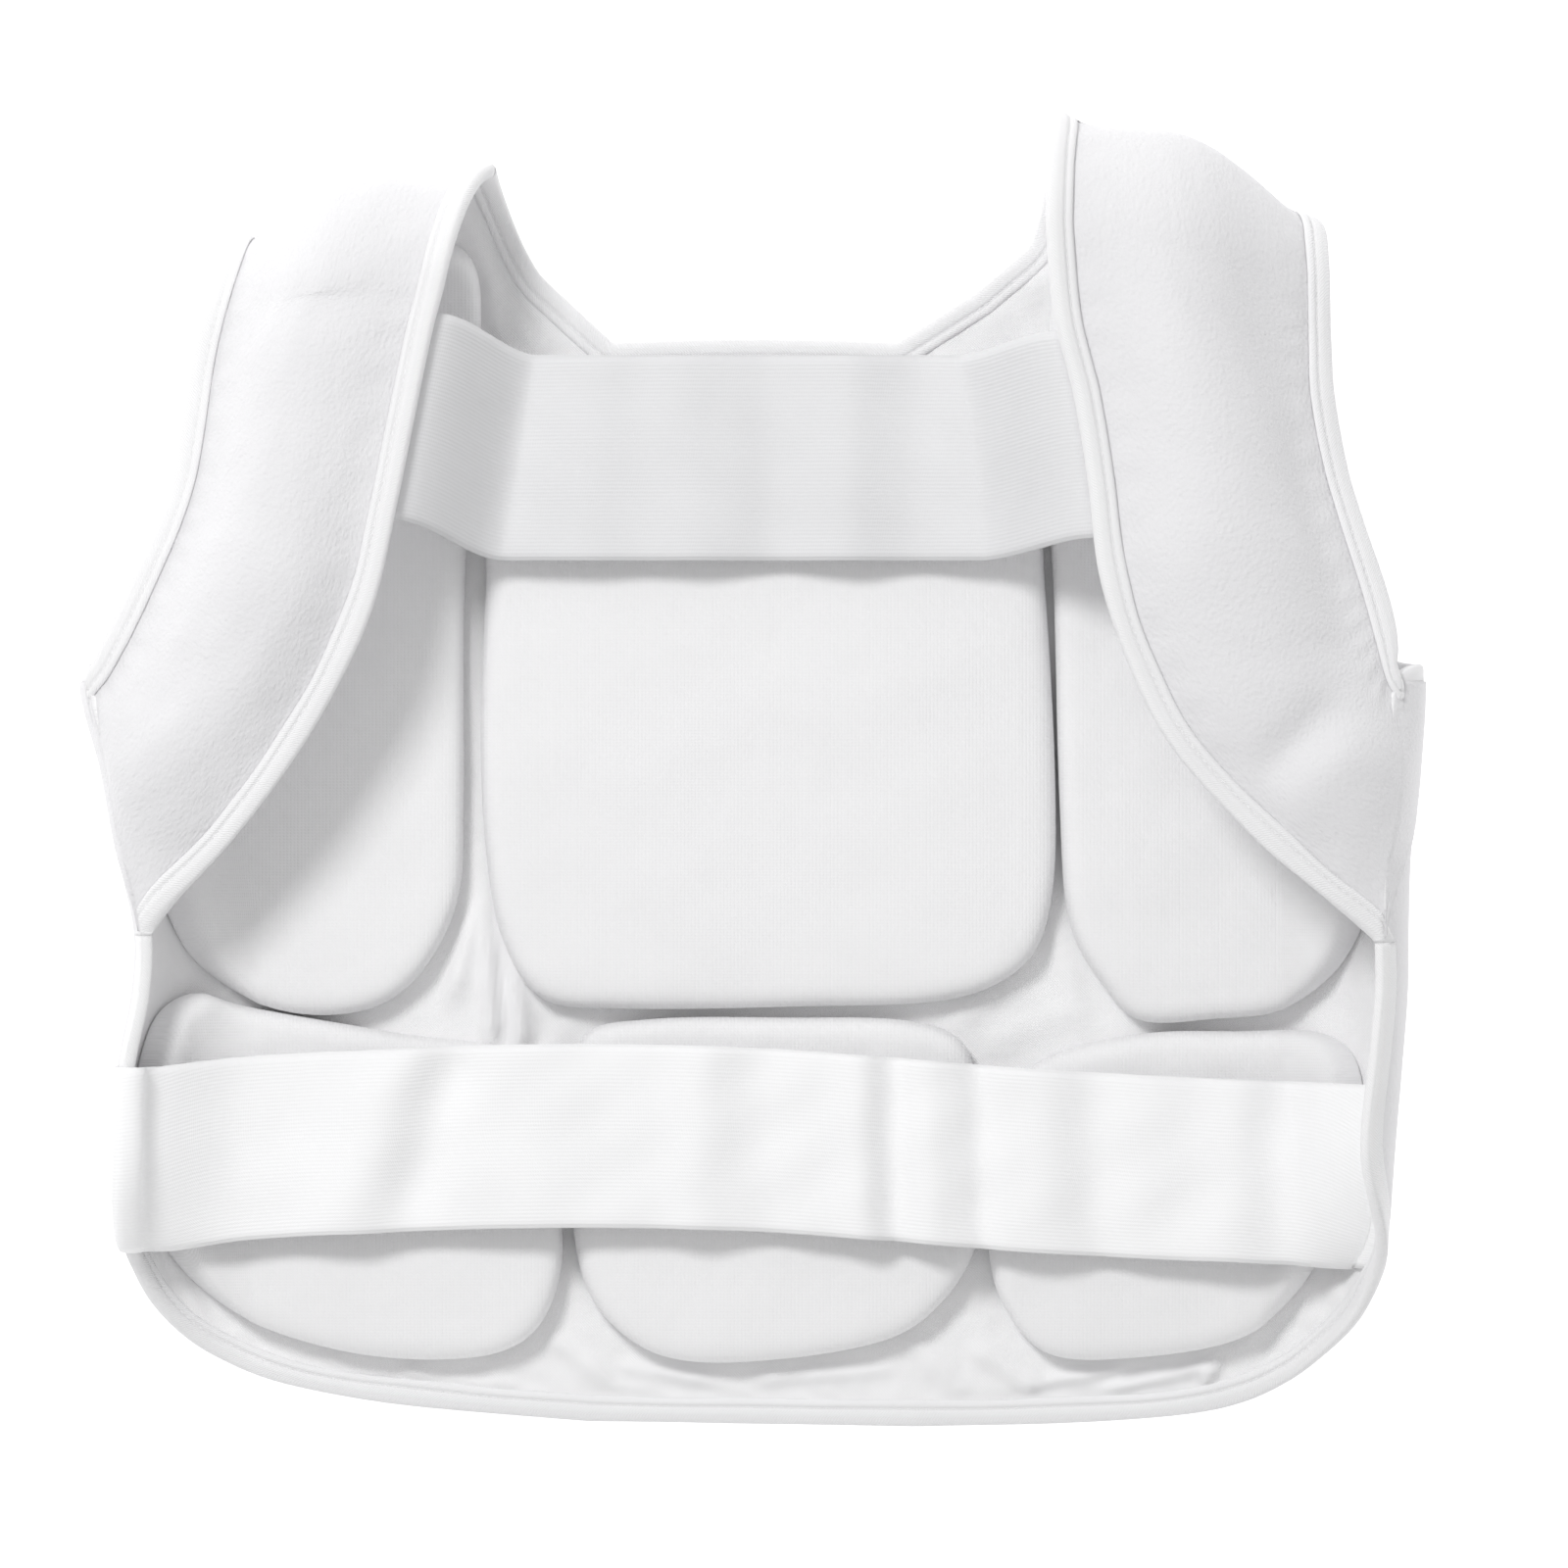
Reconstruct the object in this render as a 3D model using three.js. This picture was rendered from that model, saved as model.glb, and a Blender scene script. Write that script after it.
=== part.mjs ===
// Padded chest protector, lying on its front with the inner face up.
// X runs across the wearer, Y from the hem to the shoulders, Z up from the surface it lies on.
// The front panel is laid out flat as a pattern (s across, y up), turned up round both sides and
// folded back over the shoulders, where the two padded wings carry on down to the side seams.
import * as THREE from "three";

// Driving sizes in millimetres, turns in degrees
const WIDTH = 488; // across both sides at the armpits
const LENGTH = 480; // hem to the higher shoulder
const SIDE_ROUND = 45; // outer radius of the turn up each side
const LEFT_TURN = 110; // how far the left side turns up and over
const RIGHT_TURN = 128;
const FOLD_NECK = 45; // outer radius of the shoulder fold beside the neck
const FOLD_ARM = 30; // and beside the arm
const SHELL_WALL = 4;
const PAD_THICK = 15.5;
const WING_THICK = 11;
const WING_CROWN = 9; // how far the middle of a wing stands above its edges
const SEWN_RIM = 9; // flat rim of a wing that its binding holds
const RIM_SLOPE = 9; // from the rim to the full padding
const UPPER_BAND = 75;
const LOWER_BAND = 67;
const BAND_WALL = 2;
const BAND_REST = 11; // underside of a slack band above the pads
const BAND_LAP = 14; // how far the upper band is sewn in under a wing
const LOWER_LAP = 48; // how far the lower band is sewn down the outside of the left side
const RIGHT_LAP = 9; // and on the inner face of the right side
const BAND_BULGE = 4; // how far it stands off the edge that it folds over
const BINDING_REACH = 8;
const BINDING_WALL = 1.2;
const BINDING_CLEAR = 0.6; // between a binding and the wall it folds over
const ARM_CLEAR = 0.9; // the same at a wing's armhole edge, which curves most
const CLEAR = 0.3;
const CURVED_CLEAR = 0.5; // between neighbours that are both curved

const HALF_WIDTH = WIDTH / 2;
const HALF_LENGTH = LENGTH / 2;
const BINDING_STACK = BINDING_CLEAR + BINDING_WALL;

// The shoulder fold's outermost line, from the neck to the arm, as shares of the half sizes
const SIDES = {
  left: {
    name: "left",
    sign: -1,
    turn: THREE.MathUtils.degToRad(LEFT_TURN),
    neck: { across: 0.389, up: 0.92 },
    arm: { across: 0.775, up: 0.804 },
  },
  right: {
    name: "right",
    sign: 1,
    turn: THREE.MathUtils.degToRad(RIGHT_TURN),
    neck: { across: 0.455, up: 1.0 },
    arm: { across: 0.84, up: 0.84 },
  },
};

// Half width of the body at each level, as shares of HALF_LENGTH up and HALF_WIDTH across
const WIDTHS = [
  { up: -1.0, left: 0.92, right: 0.94 },
  { up: -0.77, left: 0.935, right: 0.945 },
  { up: -0.6, left: 0.95, right: 0.955 },
  { up: -0.45, left: 0.946, right: 0.967 },
  { up: -0.33, left: 0.925, right: 0.976 },
  { up: -0.24, left: 0.922, right: 0.977 },
  { up: -0.13, left: 0.945, right: 0.98 },
  { up: 0.0, left: 0.968, right: 0.992 },
  { up: 0.14, left: 1.0, right: 1.0 },
  { up: 1.1, left: 1.0, right: 1.0 },
];

// Rows of the front panel from the hem to the foot of the neckline. Across runs from 0 at the
// middle to 1 where the side starts to turn up and 2 at the side edge; up is a share of
// HALF_LENGTH, and bow lifts the middle of the row by its share of HALF_LENGTH.
const PANEL_ROWS = [
  { left: 0.334, leftUp: -0.984, right: 0.325, rightUp: -0.992, bow: 0 },
  { left: 0.596, leftUp: -0.968, right: 0.58, rightUp: -0.988, bow: -0.008 },
  { left: 0.8, leftUp: -0.95, right: 0.81, rightUp: -0.978, bow: -0.004 },
  { left: 0.963, leftUp: -0.924, right: 0.95, rightUp: -0.96, bow: 0 },
  { left: 1.172, leftUp: -0.888, right: 1.11, rightUp: -0.925, bow: 0 },
  { left: 1.35, leftUp: -0.85, right: 1.263, rightUp: -0.882, bow: 0 },
  { left: 1.527, leftUp: -0.798, right: 1.42, rightUp: -0.832, bow: 0 },
  { left: 1.66, leftUp: -0.75, right: 1.58, rightUp: -0.77, bow: 0 },
  { left: 1.86, leftUp: -0.685, right: 1.82, rightUp: -0.69, bow: 0 },
  { left: 2, leftUp: -0.58, right: 2, rightUp: -0.58, bow: 0 },
  { left: 2, leftUp: -0.41, right: 2, rightUp: -0.41, bow: 0 },
  { left: 2, leftUp: -0.24, right: 2, rightUp: -0.25, bow: 0 },
  { left: 2, leftUp: -0.05, right: 2, rightUp: -0.05, bow: 0 },
  { left: 2, leftUp: 0.137, right: 2, rightUp: 0.137, bow: 0 },
  { left: 1.5, leftUp: 0.165, right: 1.42, rightUp: 0.165, bow: 0.01 },
  { left: 1.16, leftUp: 0.25, right: 1.13, rightUp: 0.25, bow: 0.02 },
  { left: 1.0, leftUp: 0.36, right: 1.0, rightUp: 0.36, bow: 0.03 },
  { left: 0.955, leftUp: 0.48, right: 0.965, rightUp: 0.48, bow: 0.04 },
  { left: 0.93, leftUp: 0.58, right: 0.95, rightUp: 0.58, bow: 0.075 },
];
const TIP_ROW = 11; // the wings end here on the side edges
const TIP_TRIM = 0.04; // share of a row between a wing's tip and the side binding
const ARMPIT_ROW = 13;
const ARMPIT_TRIM = 0.3; // the armhole binding starts this share of a row past the side edge
const PANEL_STEPS = [
  0, 1, 2, 3, 4, 4.5, 5, 5.5, 6, 6.5, 7, 7.5, 8, 8.5, 9, 9.5, 10, 10.5, 11, 11.5, 12, 12.5, 13, 13.25, 13.5,
  13.75, 14, 14.3, 14.6, 15, 16, 17, 18,
];
const TURN_COLUMNS = 9;
const WAIST = -0.4; // the level whose widths the columns follow
const NECK_SHARE = 0.28; // the neckline is open this share of the half row, either way

// Rows of a shoulder strap. Fold is the share of the quarter turn done, inner and outer are the
// strap's edges as shares of HALF_WIDTH.
const STRAP_ROWS = {
  left: [
    { fold: -0.17, inner: 0.262, outer: 0.762 },
    { fold: 0.02, inner: 0.318, outer: 0.764 },
    { fold: 0.16, inner: 0.342, outer: 0.766 },
    { fold: 0.3, inner: 0.358, outer: 0.768 },
    { fold: 0.44, inner: 0.37, outer: 0.77 },
    { fold: 0.58, inner: 0.379, outer: 0.772 },
    { fold: 0.72, inner: 0.385, outer: 0.774 },
    { fold: 0.86, inner: 0.388, outer: 0.775 },
    { fold: 1.0, inner: 0.389, outer: 0.775 },
  ],
  right: [
    { fold: -0.35, inner: 0.34, outer: 0.79 },
    { fold: -0.1, inner: 0.413, outer: 0.8 },
    { fold: 0.05, inner: 0.432, outer: 0.81 },
    { fold: 0.21, inner: 0.442, outer: 0.818 },
    { fold: 0.37, inner: 0.448, outer: 0.825 },
    { fold: 0.53, inner: 0.452, outer: 0.831 },
    { fold: 0.69, inner: 0.454, outer: 0.836 },
    { fold: 0.85, inner: 0.455, outer: 0.839 },
    { fold: 1.0, inner: 0.455, outer: 0.84 },
  ],
};

// A wing from the shoulder fold's outermost line (fold 1) to the top of the fold (fold 2)
const WING_FOLD_ROWS = {
  left: [
    { fold: 1.0, inner: 0.389, outer: 0.775 },
    { fold: 1.2, inner: 0.406, outer: 0.777 },
    { fold: 1.4, inner: 0.422, outer: 0.782 },
    { fold: 1.6, inner: 0.437, outer: 0.79 },
    { fold: 1.8, inner: 0.451, outer: 0.8 },
    { fold: 2.0, inner: 0.463, outer: 0.81 },
  ],
  right: [
    { fold: 1.0, inner: 0.455, outer: 0.84 },
    { fold: 1.2, inner: 0.45, outer: 0.842 },
    { fold: 1.4, inner: 0.445, outer: 0.844 },
    { fold: 1.6, inner: 0.441, outer: 0.845 },
    { fold: 1.8, inner: 0.439, outer: 0.847 },
    { fold: 2.0, inner: 0.439, outer: 0.848 },
  ],
};
// Then down the back of the armhole to the side seam. Fall is 0 at the fold's top and 1 at the
// seam's height, crown a share of WING_CROWN, the rest shares of the half sizes.
const WING_ROWS = {
  left: [
    { inner: 0.48, innerUp: 0.657, innerFall: 0.0, arm: 0.824, armUp: 0.603, armFall: 0.0, crown: 0.45 },
    { inner: 0.506, innerUp: 0.532, innerFall: 0.04, arm: 0.836, armUp: 0.528, armFall: 0.1, crown: 0.7 },
    { inner: 0.533, innerUp: 0.399, innerFall: 0.11, arm: 0.85, armUp: 0.445, armFall: 0.2, crown: 0.9 },
    { inner: 0.566, innerUp: 0.258, innerFall: 0.22, arm: 0.873, armUp: 0.374, armFall: 0.35, crown: 1.0 },
    { inner: 0.623, innerUp: 0.129, innerFall: 0.37, arm: 0.906, armUp: 0.299, armFall: 0.5, crown: 1.0 },
    { inner: 0.697, innerUp: 0.008, innerFall: 0.52, arm: 0.938, armUp: 0.229, armFall: 0.65, crown: 1.0 },
    { inner: 0.779, innerUp: -0.1, innerFall: 0.68, arm: 0.962, armUp: 0.18, armFall: 0.8, crown: 0.9 },
    { inner: 0.848, innerUp: -0.178, innerFall: 0.84, arm: 0.97, armUp: 0.158, armFall: 0.9, crown: 0.6 },
  ],
  right: [
    { inner: 0.451, innerUp: 0.686, innerFall: 0.0, arm: 0.849, armUp: 0.645, armFall: 0.0, crown: 0.45 },
    { inner: 0.48, innerUp: 0.566, innerFall: 0.04, arm: 0.853, armUp: 0.566, armFall: 0.1, crown: 0.7 },
    { inner: 0.502, innerUp: 0.433, innerFall: 0.1, arm: 0.873, armUp: 0.453, armFall: 0.2, crown: 0.9 },
    { inner: 0.519, innerUp: 0.299, innerFall: 0.2, arm: 0.898, armUp: 0.37, armFall: 0.35, crown: 1.0 },
    { inner: 0.558, innerUp: 0.175, innerFall: 0.35, arm: 0.926, armUp: 0.287, armFall: 0.5, crown: 1.0 },
    { inner: 0.623, innerUp: 0.046, innerFall: 0.5, arm: 0.943, armUp: 0.225, armFall: 0.65, crown: 1.0 },
    { inner: 0.738, innerUp: -0.083, innerFall: 0.66, arm: 0.95, armUp: 0.178, armFall: 0.8, crown: 0.9 },
    { inner: 0.84, innerUp: -0.175, innerFall: 0.82, arm: 0.95, armUp: 0.156, armFall: 0.9, crown: 0.6 },
  ],
};

// Pad outlines, run round clockwise from the top left, as shares of HALF_WIDTH along the pattern
// and of HALF_LENGTH up it
const PADS = {
  centre_pad: [
    { across: -0.36, up: 0.55 },
    { across: 0.0, up: 0.575 },
    { across: 0.365, up: 0.55 },
    { across: 0.425, up: 0.44 },
    { across: 0.437, up: 0.3 },
    { across: 0.453, up: 0.0 },
    { across: 0.448, up: -0.19 },
    { across: 0.41, up: -0.29 },
    { across: 0.3, up: -0.345 },
    { across: 0.07, up: -0.357 },
    { across: -0.2, up: -0.36 },
    { across: -0.315, up: -0.345 },
    { across: -0.375, up: -0.255 },
    { across: -0.4, up: -0.12 },
    { across: -0.408, up: 0.06 },
    { across: -0.4, up: 0.3 },
    { across: -0.4, up: 0.45 },
  ],
  left_side_pad: [
    { across: -0.62, up: 0.83 },
    { across: -0.46, up: 0.83 },
    { across: -0.41, up: 0.75 },
    { across: -0.42, up: 0.5 },
    { across: -0.433, up: 0.25 },
    { across: -0.434, up: -0.05 },
    { across: -0.442, up: -0.19 },
    { across: -0.49, up: -0.295 },
    { across: -0.56, up: -0.355 },
    { across: -0.66, up: -0.37 },
    { across: -0.76, up: -0.345 },
    { across: -0.88, up: -0.27 },
    { across: -0.95, up: -0.15 },
    { across: -0.965, up: 0.0 },
    { across: -0.91, up: 0.1 },
    { across: -0.79, up: 0.2 },
    { across: -0.72, up: 0.33 },
    { across: -0.69, up: 0.5 },
    { across: -0.68, up: 0.68 },
  ],
  right_side_pad: [
    { across: 0.475, up: 0.85 },
    { across: 0.65, up: 0.84 },
    { across: 0.71, up: 0.72 },
    { across: 0.715, up: 0.5 },
    { across: 0.745, up: 0.33 },
    { across: 0.81, up: 0.2 },
    { across: 0.93, up: 0.1 },
    { across: 0.99, up: 0.0 },
    { across: 0.985, up: -0.15 },
    { across: 0.91, up: -0.285 },
    { across: 0.8, up: -0.36 },
    { across: 0.69, up: -0.376 },
    { across: 0.58, up: -0.378 },
    { across: 0.525, up: -0.325 },
    { across: 0.475, up: -0.23 },
    { across: 0.46, up: -0.05 },
    { across: 0.452, up: 0.25 },
    { across: 0.44, up: 0.5 },
    { across: 0.435, up: 0.72 },
  ],
  lower_left_pad: [
    { across: -0.97, up: -0.395 },
    { across: -0.88, up: -0.338 },
    { across: -0.78, up: -0.348 },
    { across: -0.53, up: -0.395 },
    { across: -0.36, up: -0.425 },
    { across: -0.3, up: -0.5 },
    { across: -0.29, up: -0.64 },
    { across: -0.288, up: -0.76 },
    { across: -0.33, up: -0.855 },
    { across: -0.42, up: -0.892 },
    { across: -0.6, up: -0.885 },
    { across: -0.78, up: -0.825 },
    { across: -0.92, up: -0.72 },
    { across: -1.01, up: -0.57 },
  ],
  lower_centre_pad: [
    { across: -0.255, up: -0.405 },
    { across: -0.16, up: -0.377 },
    { across: 0.05, up: -0.374 },
    { across: 0.24, up: -0.38 },
    { across: 0.32, up: -0.42 },
    { across: 0.34, up: -0.55 },
    { across: 0.34, up: -0.7 },
    { across: 0.29, up: -0.8 },
    { across: 0.2, up: -0.865 },
    { across: 0.0, up: -0.898 },
    { across: -0.14, up: -0.888 },
    { across: -0.23, up: -0.82 },
    { across: -0.266, up: -0.72 },
    { across: -0.272, up: -0.55 },
  ],
  lower_right_pad: [
    { across: 0.46, up: -0.428 },
    { across: 0.59, up: -0.398 },
    { across: 0.72, up: -0.395 },
    { across: 0.88, up: -0.4 },
    { across: 0.95, up: -0.46 },
    { across: 0.955, up: -0.58 },
    { across: 0.89, up: -0.71 },
    { across: 0.82, up: -0.8 },
    { across: 0.72, up: -0.867 },
    { across: 0.55, up: -0.894 },
    { across: 0.44, up: -0.885 },
    { across: 0.38, up: -0.82 },
    { across: 0.355, up: -0.74 },
    { across: 0.355, up: -0.6 },
    { across: 0.375, up: -0.49 },
  ],
};
// Section of a pad from its underside, over its rounded edge, to the top: inset from the outline
// and height, as shares of PAD_THICK
const PAD_SECTION = [
  { inset: 1.0, height: 0 },
  { inset: 0.15, height: 0 },
  { inset: 0.0, height: 0.3 },
  { inset: 0.02, height: 0.6 },
  { inset: 0.16, height: 0.86 },
  { inset: 0.42, height: 0.97 },
  { inset: 1.0, height: 1.0 },
];
const PAD_POINTS = 24; // round an outline
const PAD_RINGS = [0.6]; // shares of the inner face left inside the last inset

// Middle line of each band, as a share of HALF_LENGTH up
const UPPER_BAND_UP = { left: 0.536, middle: 0.477, right: 0.508 };
const UPPER_BAND_DROP = 0.16; // share of the span in which the band comes down from a wing
const LOWER_BAND_LINE = [
  { across: -1.0, up: -0.585 },
  { across: -0.4, up: -0.554 },
  { across: 0.0, up: -0.558 },
  { across: 0.45, up: -0.592 },
  { across: 0.9, up: -0.613 },
];

// A smooth curve through values at rising keys
function through(keys, values, at) {
  const last = keys.length - 1;
  let i = 0;
  while (i < last - 1 && at > keys[i + 1]) i += 1;
  const slope = (k) => {
    const a = Math.max(k - 1, 0);
    const b = Math.min(k + 1, last);
    return (values[b] - values[a]) / (keys[b] - keys[a]);
  };
  const span = keys[i + 1] - keys[i];
  const t = THREE.MathUtils.clamp((at - keys[i]) / span, 0, 1);
  const [t2, t3] = [t * t, t * t * t];
  return (
    (2 * t3 - 3 * t2 + 1) * values[i] +
    (t3 - 2 * t2 + t) * span * slope(i) +
    (3 * t2 - 2 * t3) * values[i + 1] +
    (t3 - t2) * span * slope(i + 1)
  );
}

// Shares of a half row, from its middle to its edge: few where the panel is flat, then even steps
// round the turn, which starts at the share that the sizes give
function columnShares(side) {
  const level = WAIST * HALF_LENGTH;
  const flat = flatHalf(side, level) / Math.abs(acrossToPattern(side, 2, level));
  const turned = [...Array(TURN_COLUMNS).keys()].map((k) => mix(flat, 1, (k + 1) / TURN_COLUMNS));
  return [0, NECK_SHARE, (NECK_SHARE + flat) / 2, flat, ...turned];
}

function column(table, name) {
  return table.map((row) => row[name]);
}

function rowAt(table, name, at) {
  return through([...table.keys()], column(table, name), at);
}

function mix(a, b, t) {
  return a + (b - a) * t;
}

function sideOf(x) {
  return x < 0 ? SIDES.left : SIDES.right;
}

// Half of the flat part of the panel at a level
function flatHalf(side, y) {
  const share = through(column(WIDTHS, "up"), column(WIDTHS, side.name), y / HALF_LENGTH);
  return share * HALF_WIDTH - SIDE_ROUND;
}

// The pattern place of a share across: 0 middle, 1 start of the turn, 2 side edge
function acrossToPattern(side, share, y) {
  const flat = flatHalf(side, y);
  const s = share <= 1 ? share * flat : flat + (share - 1) * SIDE_ROUND * side.turn;
  return side.sign * s;
}

// The shoulder fold at a distance from the middle: its radius and the level where it starts
function foldAt(side, x) {
  const neck = side.neck.across * HALF_WIDTH;
  const arm = side.arm.across * HALF_WIDTH;
  const k = (Math.abs(x) - neck) / (arm - neck);
  const radius = mix(FOLD_NECK, FOLD_ARM, k);
  const top = mix(side.neck.up, side.arm.up, k) * HALF_LENGTH;
  return { radius, start: top - radius };
}

function folded(side, x, y, z) {
  const { radius, start } = foldAt(side, x);
  const over = (y - start) / radius;
  if (over <= 0) return new THREE.Vector3(x, y, z);
  const reach = radius - z;
  return new THREE.Vector3(x, start + reach * Math.sin(over), radius - reach * Math.cos(over));
}

// A point h above the panel's outer face, at pattern place (s, y)
function panelPoint(s, y, h) {
  const side = sideOf(s);
  const turned = (Math.abs(s) - flatHalf(side, y)) / SIDE_ROUND;
  if (turned <= 0) return folded(side, s, y, h);
  const reach = SIDE_ROUND - h;
  const x = side.sign * (flatHalf(side, y) + reach * Math.sin(turned));
  return folded(side, x, y, SIDE_ROUND - reach * Math.cos(turned));
}

// The pattern level where the fold has done a share of its quarter turn
function foldLevel(side, x, share) {
  const { radius, start } = foldAt(side, x);
  return start + (share * radius * Math.PI) / 2;
}

function solid(name, points, triangles, material) {
  const geometry = new THREE.BufferGeometry().setFromPoints(points);
  let volume = 0;
  for (const [a, b, c] of triangles) {
    volume += points[a].dot(points[b].clone().cross(points[c]));
  }
  const facing = volume < 0 ? triangles.map(([a, b, c]) => [a, c, b]) : triangles;
  geometry.setIndex(facing.flat());
  geometry.computeVertexNormals();
  const mesh = new THREE.Mesh(geometry, material);
  mesh.name = name;
  return mesh;
}

// A closed body between two sheets of points; each cell is four point numbers in order round it
function sheetBody(name, lower, upper, cells, material) {
  const count = lower.length;
  const triangles = [];
  const open = new Map();
  for (const [a, b, c, d] of cells) {
    // Each cell is cut along its shorter diagonal, which keeps closest to a turned surface
    const shorter = lower[a].distanceTo(lower[c]) < lower[b].distanceTo(lower[d]);
    for (const [p, q, r] of [
      [a, b, shorter ? c : d],
      [shorter ? a : b, c, d],
    ]) {
      triangles.push([p, r, q], [p + count, q + count, r + count]);
    }
    for (const [p, q] of [
      [a, b],
      [b, c],
      [c, d],
      [d, a],
    ]) {
      if (open.has(`${q},${p}`)) open.delete(`${q},${p}`);
      else open.set(`${p},${q}`, [p, q]);
    }
  }
  for (const [p, q] of open.values()) {
    triangles.push([p, q, q + count], [p, q + count, p + count]);
  }
  return solid(name, [...lower, ...upper], triangles, material);
}

function gridCells(rows, columns) {
  const cells = [];
  for (let i = 0; i < rows - 1; i += 1) {
    for (let j = 0; j < columns - 1; j += 1) {
      const a = i * columns + j;
      cells.push([a, a + 1, a + columns + 1, a + columns]);
    }
  }
  return cells;
}

// A section of a few points swept through stations; stations[i] is the list of its 3D points
function sweep(name, stations, material) {
  const n = stations[0].length;
  const triangles = [];
  for (let i = 0; i < stations.length - 1; i += 1) {
    for (let j = 0; j < n; j += 1) {
      const [a, b] = [i * n + j, i * n + ((j + 1) % n)];
      triangles.push([a, b, b + n], [a, b + n, a + n]);
    }
  }
  const faces = THREE.ShapeUtils.triangulateShape(SECTION_FLAT[n], []);
  const end = (stations.length - 1) * n;
  for (const [a, b, c] of faces) {
    triangles.push([a, b, c], [end + a, end + c, end + b]);
  }
  return solid(name, stations.flat(), triangles, material);
}

// Clockwise binding sections as (inward, height) about an edge whose wall runs from height 0 to the wall
function bindingL(wall) {
  return [
    [-BINDING_CLEAR, 0],
    [-BINDING_STACK, 0],
    [-BINDING_STACK, wall + BINDING_STACK],
    [BINDING_REACH, wall + BINDING_STACK],
    [BINDING_REACH, wall + BINDING_CLEAR],
    [-BINDING_CLEAR, wall + BINDING_CLEAR],
  ];
}
function bindingU(wall, clear) {
  const stack = clear + BINDING_WALL;
  return [
    [BINDING_REACH, -clear],
    [BINDING_REACH, -stack],
    [-stack, -stack],
    [-stack, wall + stack],
    [BINDING_REACH, wall + stack],
    [BINDING_REACH, wall + clear],
    [-clear, wall + clear],
    [-clear, -clear],
  ];
}
const SECTION_FLAT = Object.fromEntries(
  [bindingL(SHELL_WALL), bindingU(SHELL_WALL, BINDING_CLEAR)].map((section) => [
    section.length,
    section.map(([a, h]) => new THREE.Vector2(a, h)),
  ]),
);

// Materials, all of them white cloth
const cloth = (color, roughness) => new THREE.MeshStandardMaterial({ color, roughness, metalness: 0 });
const lining = cloth(0xe9e9ea, 0.95);
const jersey = cloth(0xe4e4e5, 0.92);
const fleece = cloth(0xf0f0f1, 1.0);
const elastic = cloth(0xebebec, 0.85);
const tape = cloth(0xf2f2f3, 0.8);

// Front panel in the pattern: one row of points for each step of the table
function panelRow(step) {
  const y = { left: 0, right: 0 };
  const s = { left: 0, right: 0 };
  for (const name of ["left", "right"]) {
    y[name] = rowAt(PANEL_ROWS, `${name}Up`, step) * HALF_LENGTH;
    const share = Math.min(2, rowAt(PANEL_ROWS, name, step));
    s[name] = acrossToPattern(SIDES[name], share, y[name]);
  }
  const bow = rowAt(PANEL_ROWS, "bow", step) * HALF_LENGTH;
  const place = (t) => ({
    s: t * Math.abs(t < 0 ? s.left : s.right),
    y: mix(y.left, y.right, (t + 1) / 2) + bow * (1 - t * t),
  });
  const toLeft = columnShares(SIDES.left).slice(1).reverse();
  return [...toLeft.map((t) => -t), ...columnShares(SIDES.right)].map(place);
}

// A strap's row from its inner edge outwards, in the same shares as the panel's columns
function strapRow(name, row, fold) {
  const side = SIDES[name];
  return columnShares(side).slice(1).map((t) => {
    const k = (t - NECK_SHARE) / (1 - NECK_SHARE);
    const x = side.sign * mix(row.inner, row.outer, k) * HALF_WIDTH;
    return { s: x, y: foldLevel(side, x, fold) };
  });
}

const bodyRows = PANEL_STEPS.map(panelRow);
const seamShare = (2 * CLEAR) / (FOLD_NECK * Math.PI); // half the gap at the shoulder seam
const strapRows = Object.fromEntries(
  Object.entries(STRAP_ROWS).map(([name, rows]) => [
    name,
    rows.map((row) => strapRow(name, row, Math.min(row.fold, 1 - seamShare))),
  ]),
);

function frontShell() {
  const wide = bodyRows[0].length;
  const flat = bodyRows.flat();
  const cells = gridCells(bodyRows.length, wide);
  const middle = (wide - 1) / 2;
  const topRow = (bodyRows.length - 1) * wide;
  for (const name of ["left", "right"]) {
    const { sign } = SIDES[name];
    const columns = strapRows[name][0].length;
    let below = [...Array(columns).keys()].map((k) => topRow + middle + sign * (k + 1));
    for (const row of strapRows[name]) {
      const above = row.map((_, k) => flat.length + k);
      flat.push(...row);
      for (let k = 0; k < columns - 1; k += 1) {
        const ring = [below[k], below[k + 1], above[k + 1], above[k]];
        cells.push(sign > 0 ? ring : ring.reverse());
      }
      below = above;
    }
  }
  const at = (h) => flat.map((p) => panelPoint(p.s, p.y, h));
  return sheetBody("front_shell", at(0), at(SHELL_WALL), cells, lining);
}

// A binding on the front panel along a run of pattern places, its inward side on the given hand
function panelBinding(name, run, hand) {
  const section = bindingL(SHELL_WALL);
  const stations = run.map((p, i) => {
    const a = run[Math.max(i - 1, 0)];
    const b = run[Math.min(i + 1, run.length - 1)];
    const inward = new THREE.Vector2(-hand * (b.y - a.y), hand * (b.s - a.s));
    if (p.toward) inward.set(p.toward.s - p.s, p.toward.y - p.y);
    inward.normalize();
    return section.map(([d, h]) => panelPoint(p.s + inward.x * d, p.y + inward.y * d, h));
  });
  return sweep(name, stations, tape);
}

// The pattern place of a side edge at a level, between the panel's own rows
function edgeAt(name, y) {
  const edge = bodyRows.map(edgeOf(name));
  const i = edge.findIndex((p) => p.y > y);
  const [a, b] = [edge[i - 1], edge[i]];
  return mix(a.s, b.s, (y - a.y) / (b.y - a.y));
}

const edgeOf = (name) => (row) => (name === "left" ? row[0] : row.at(-1));
const stepsFrom = (low, high) => bodyRows.filter((_, i) => PANEL_STEPS[i] >= low && PANEL_STEPS[i] <= high);

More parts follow.
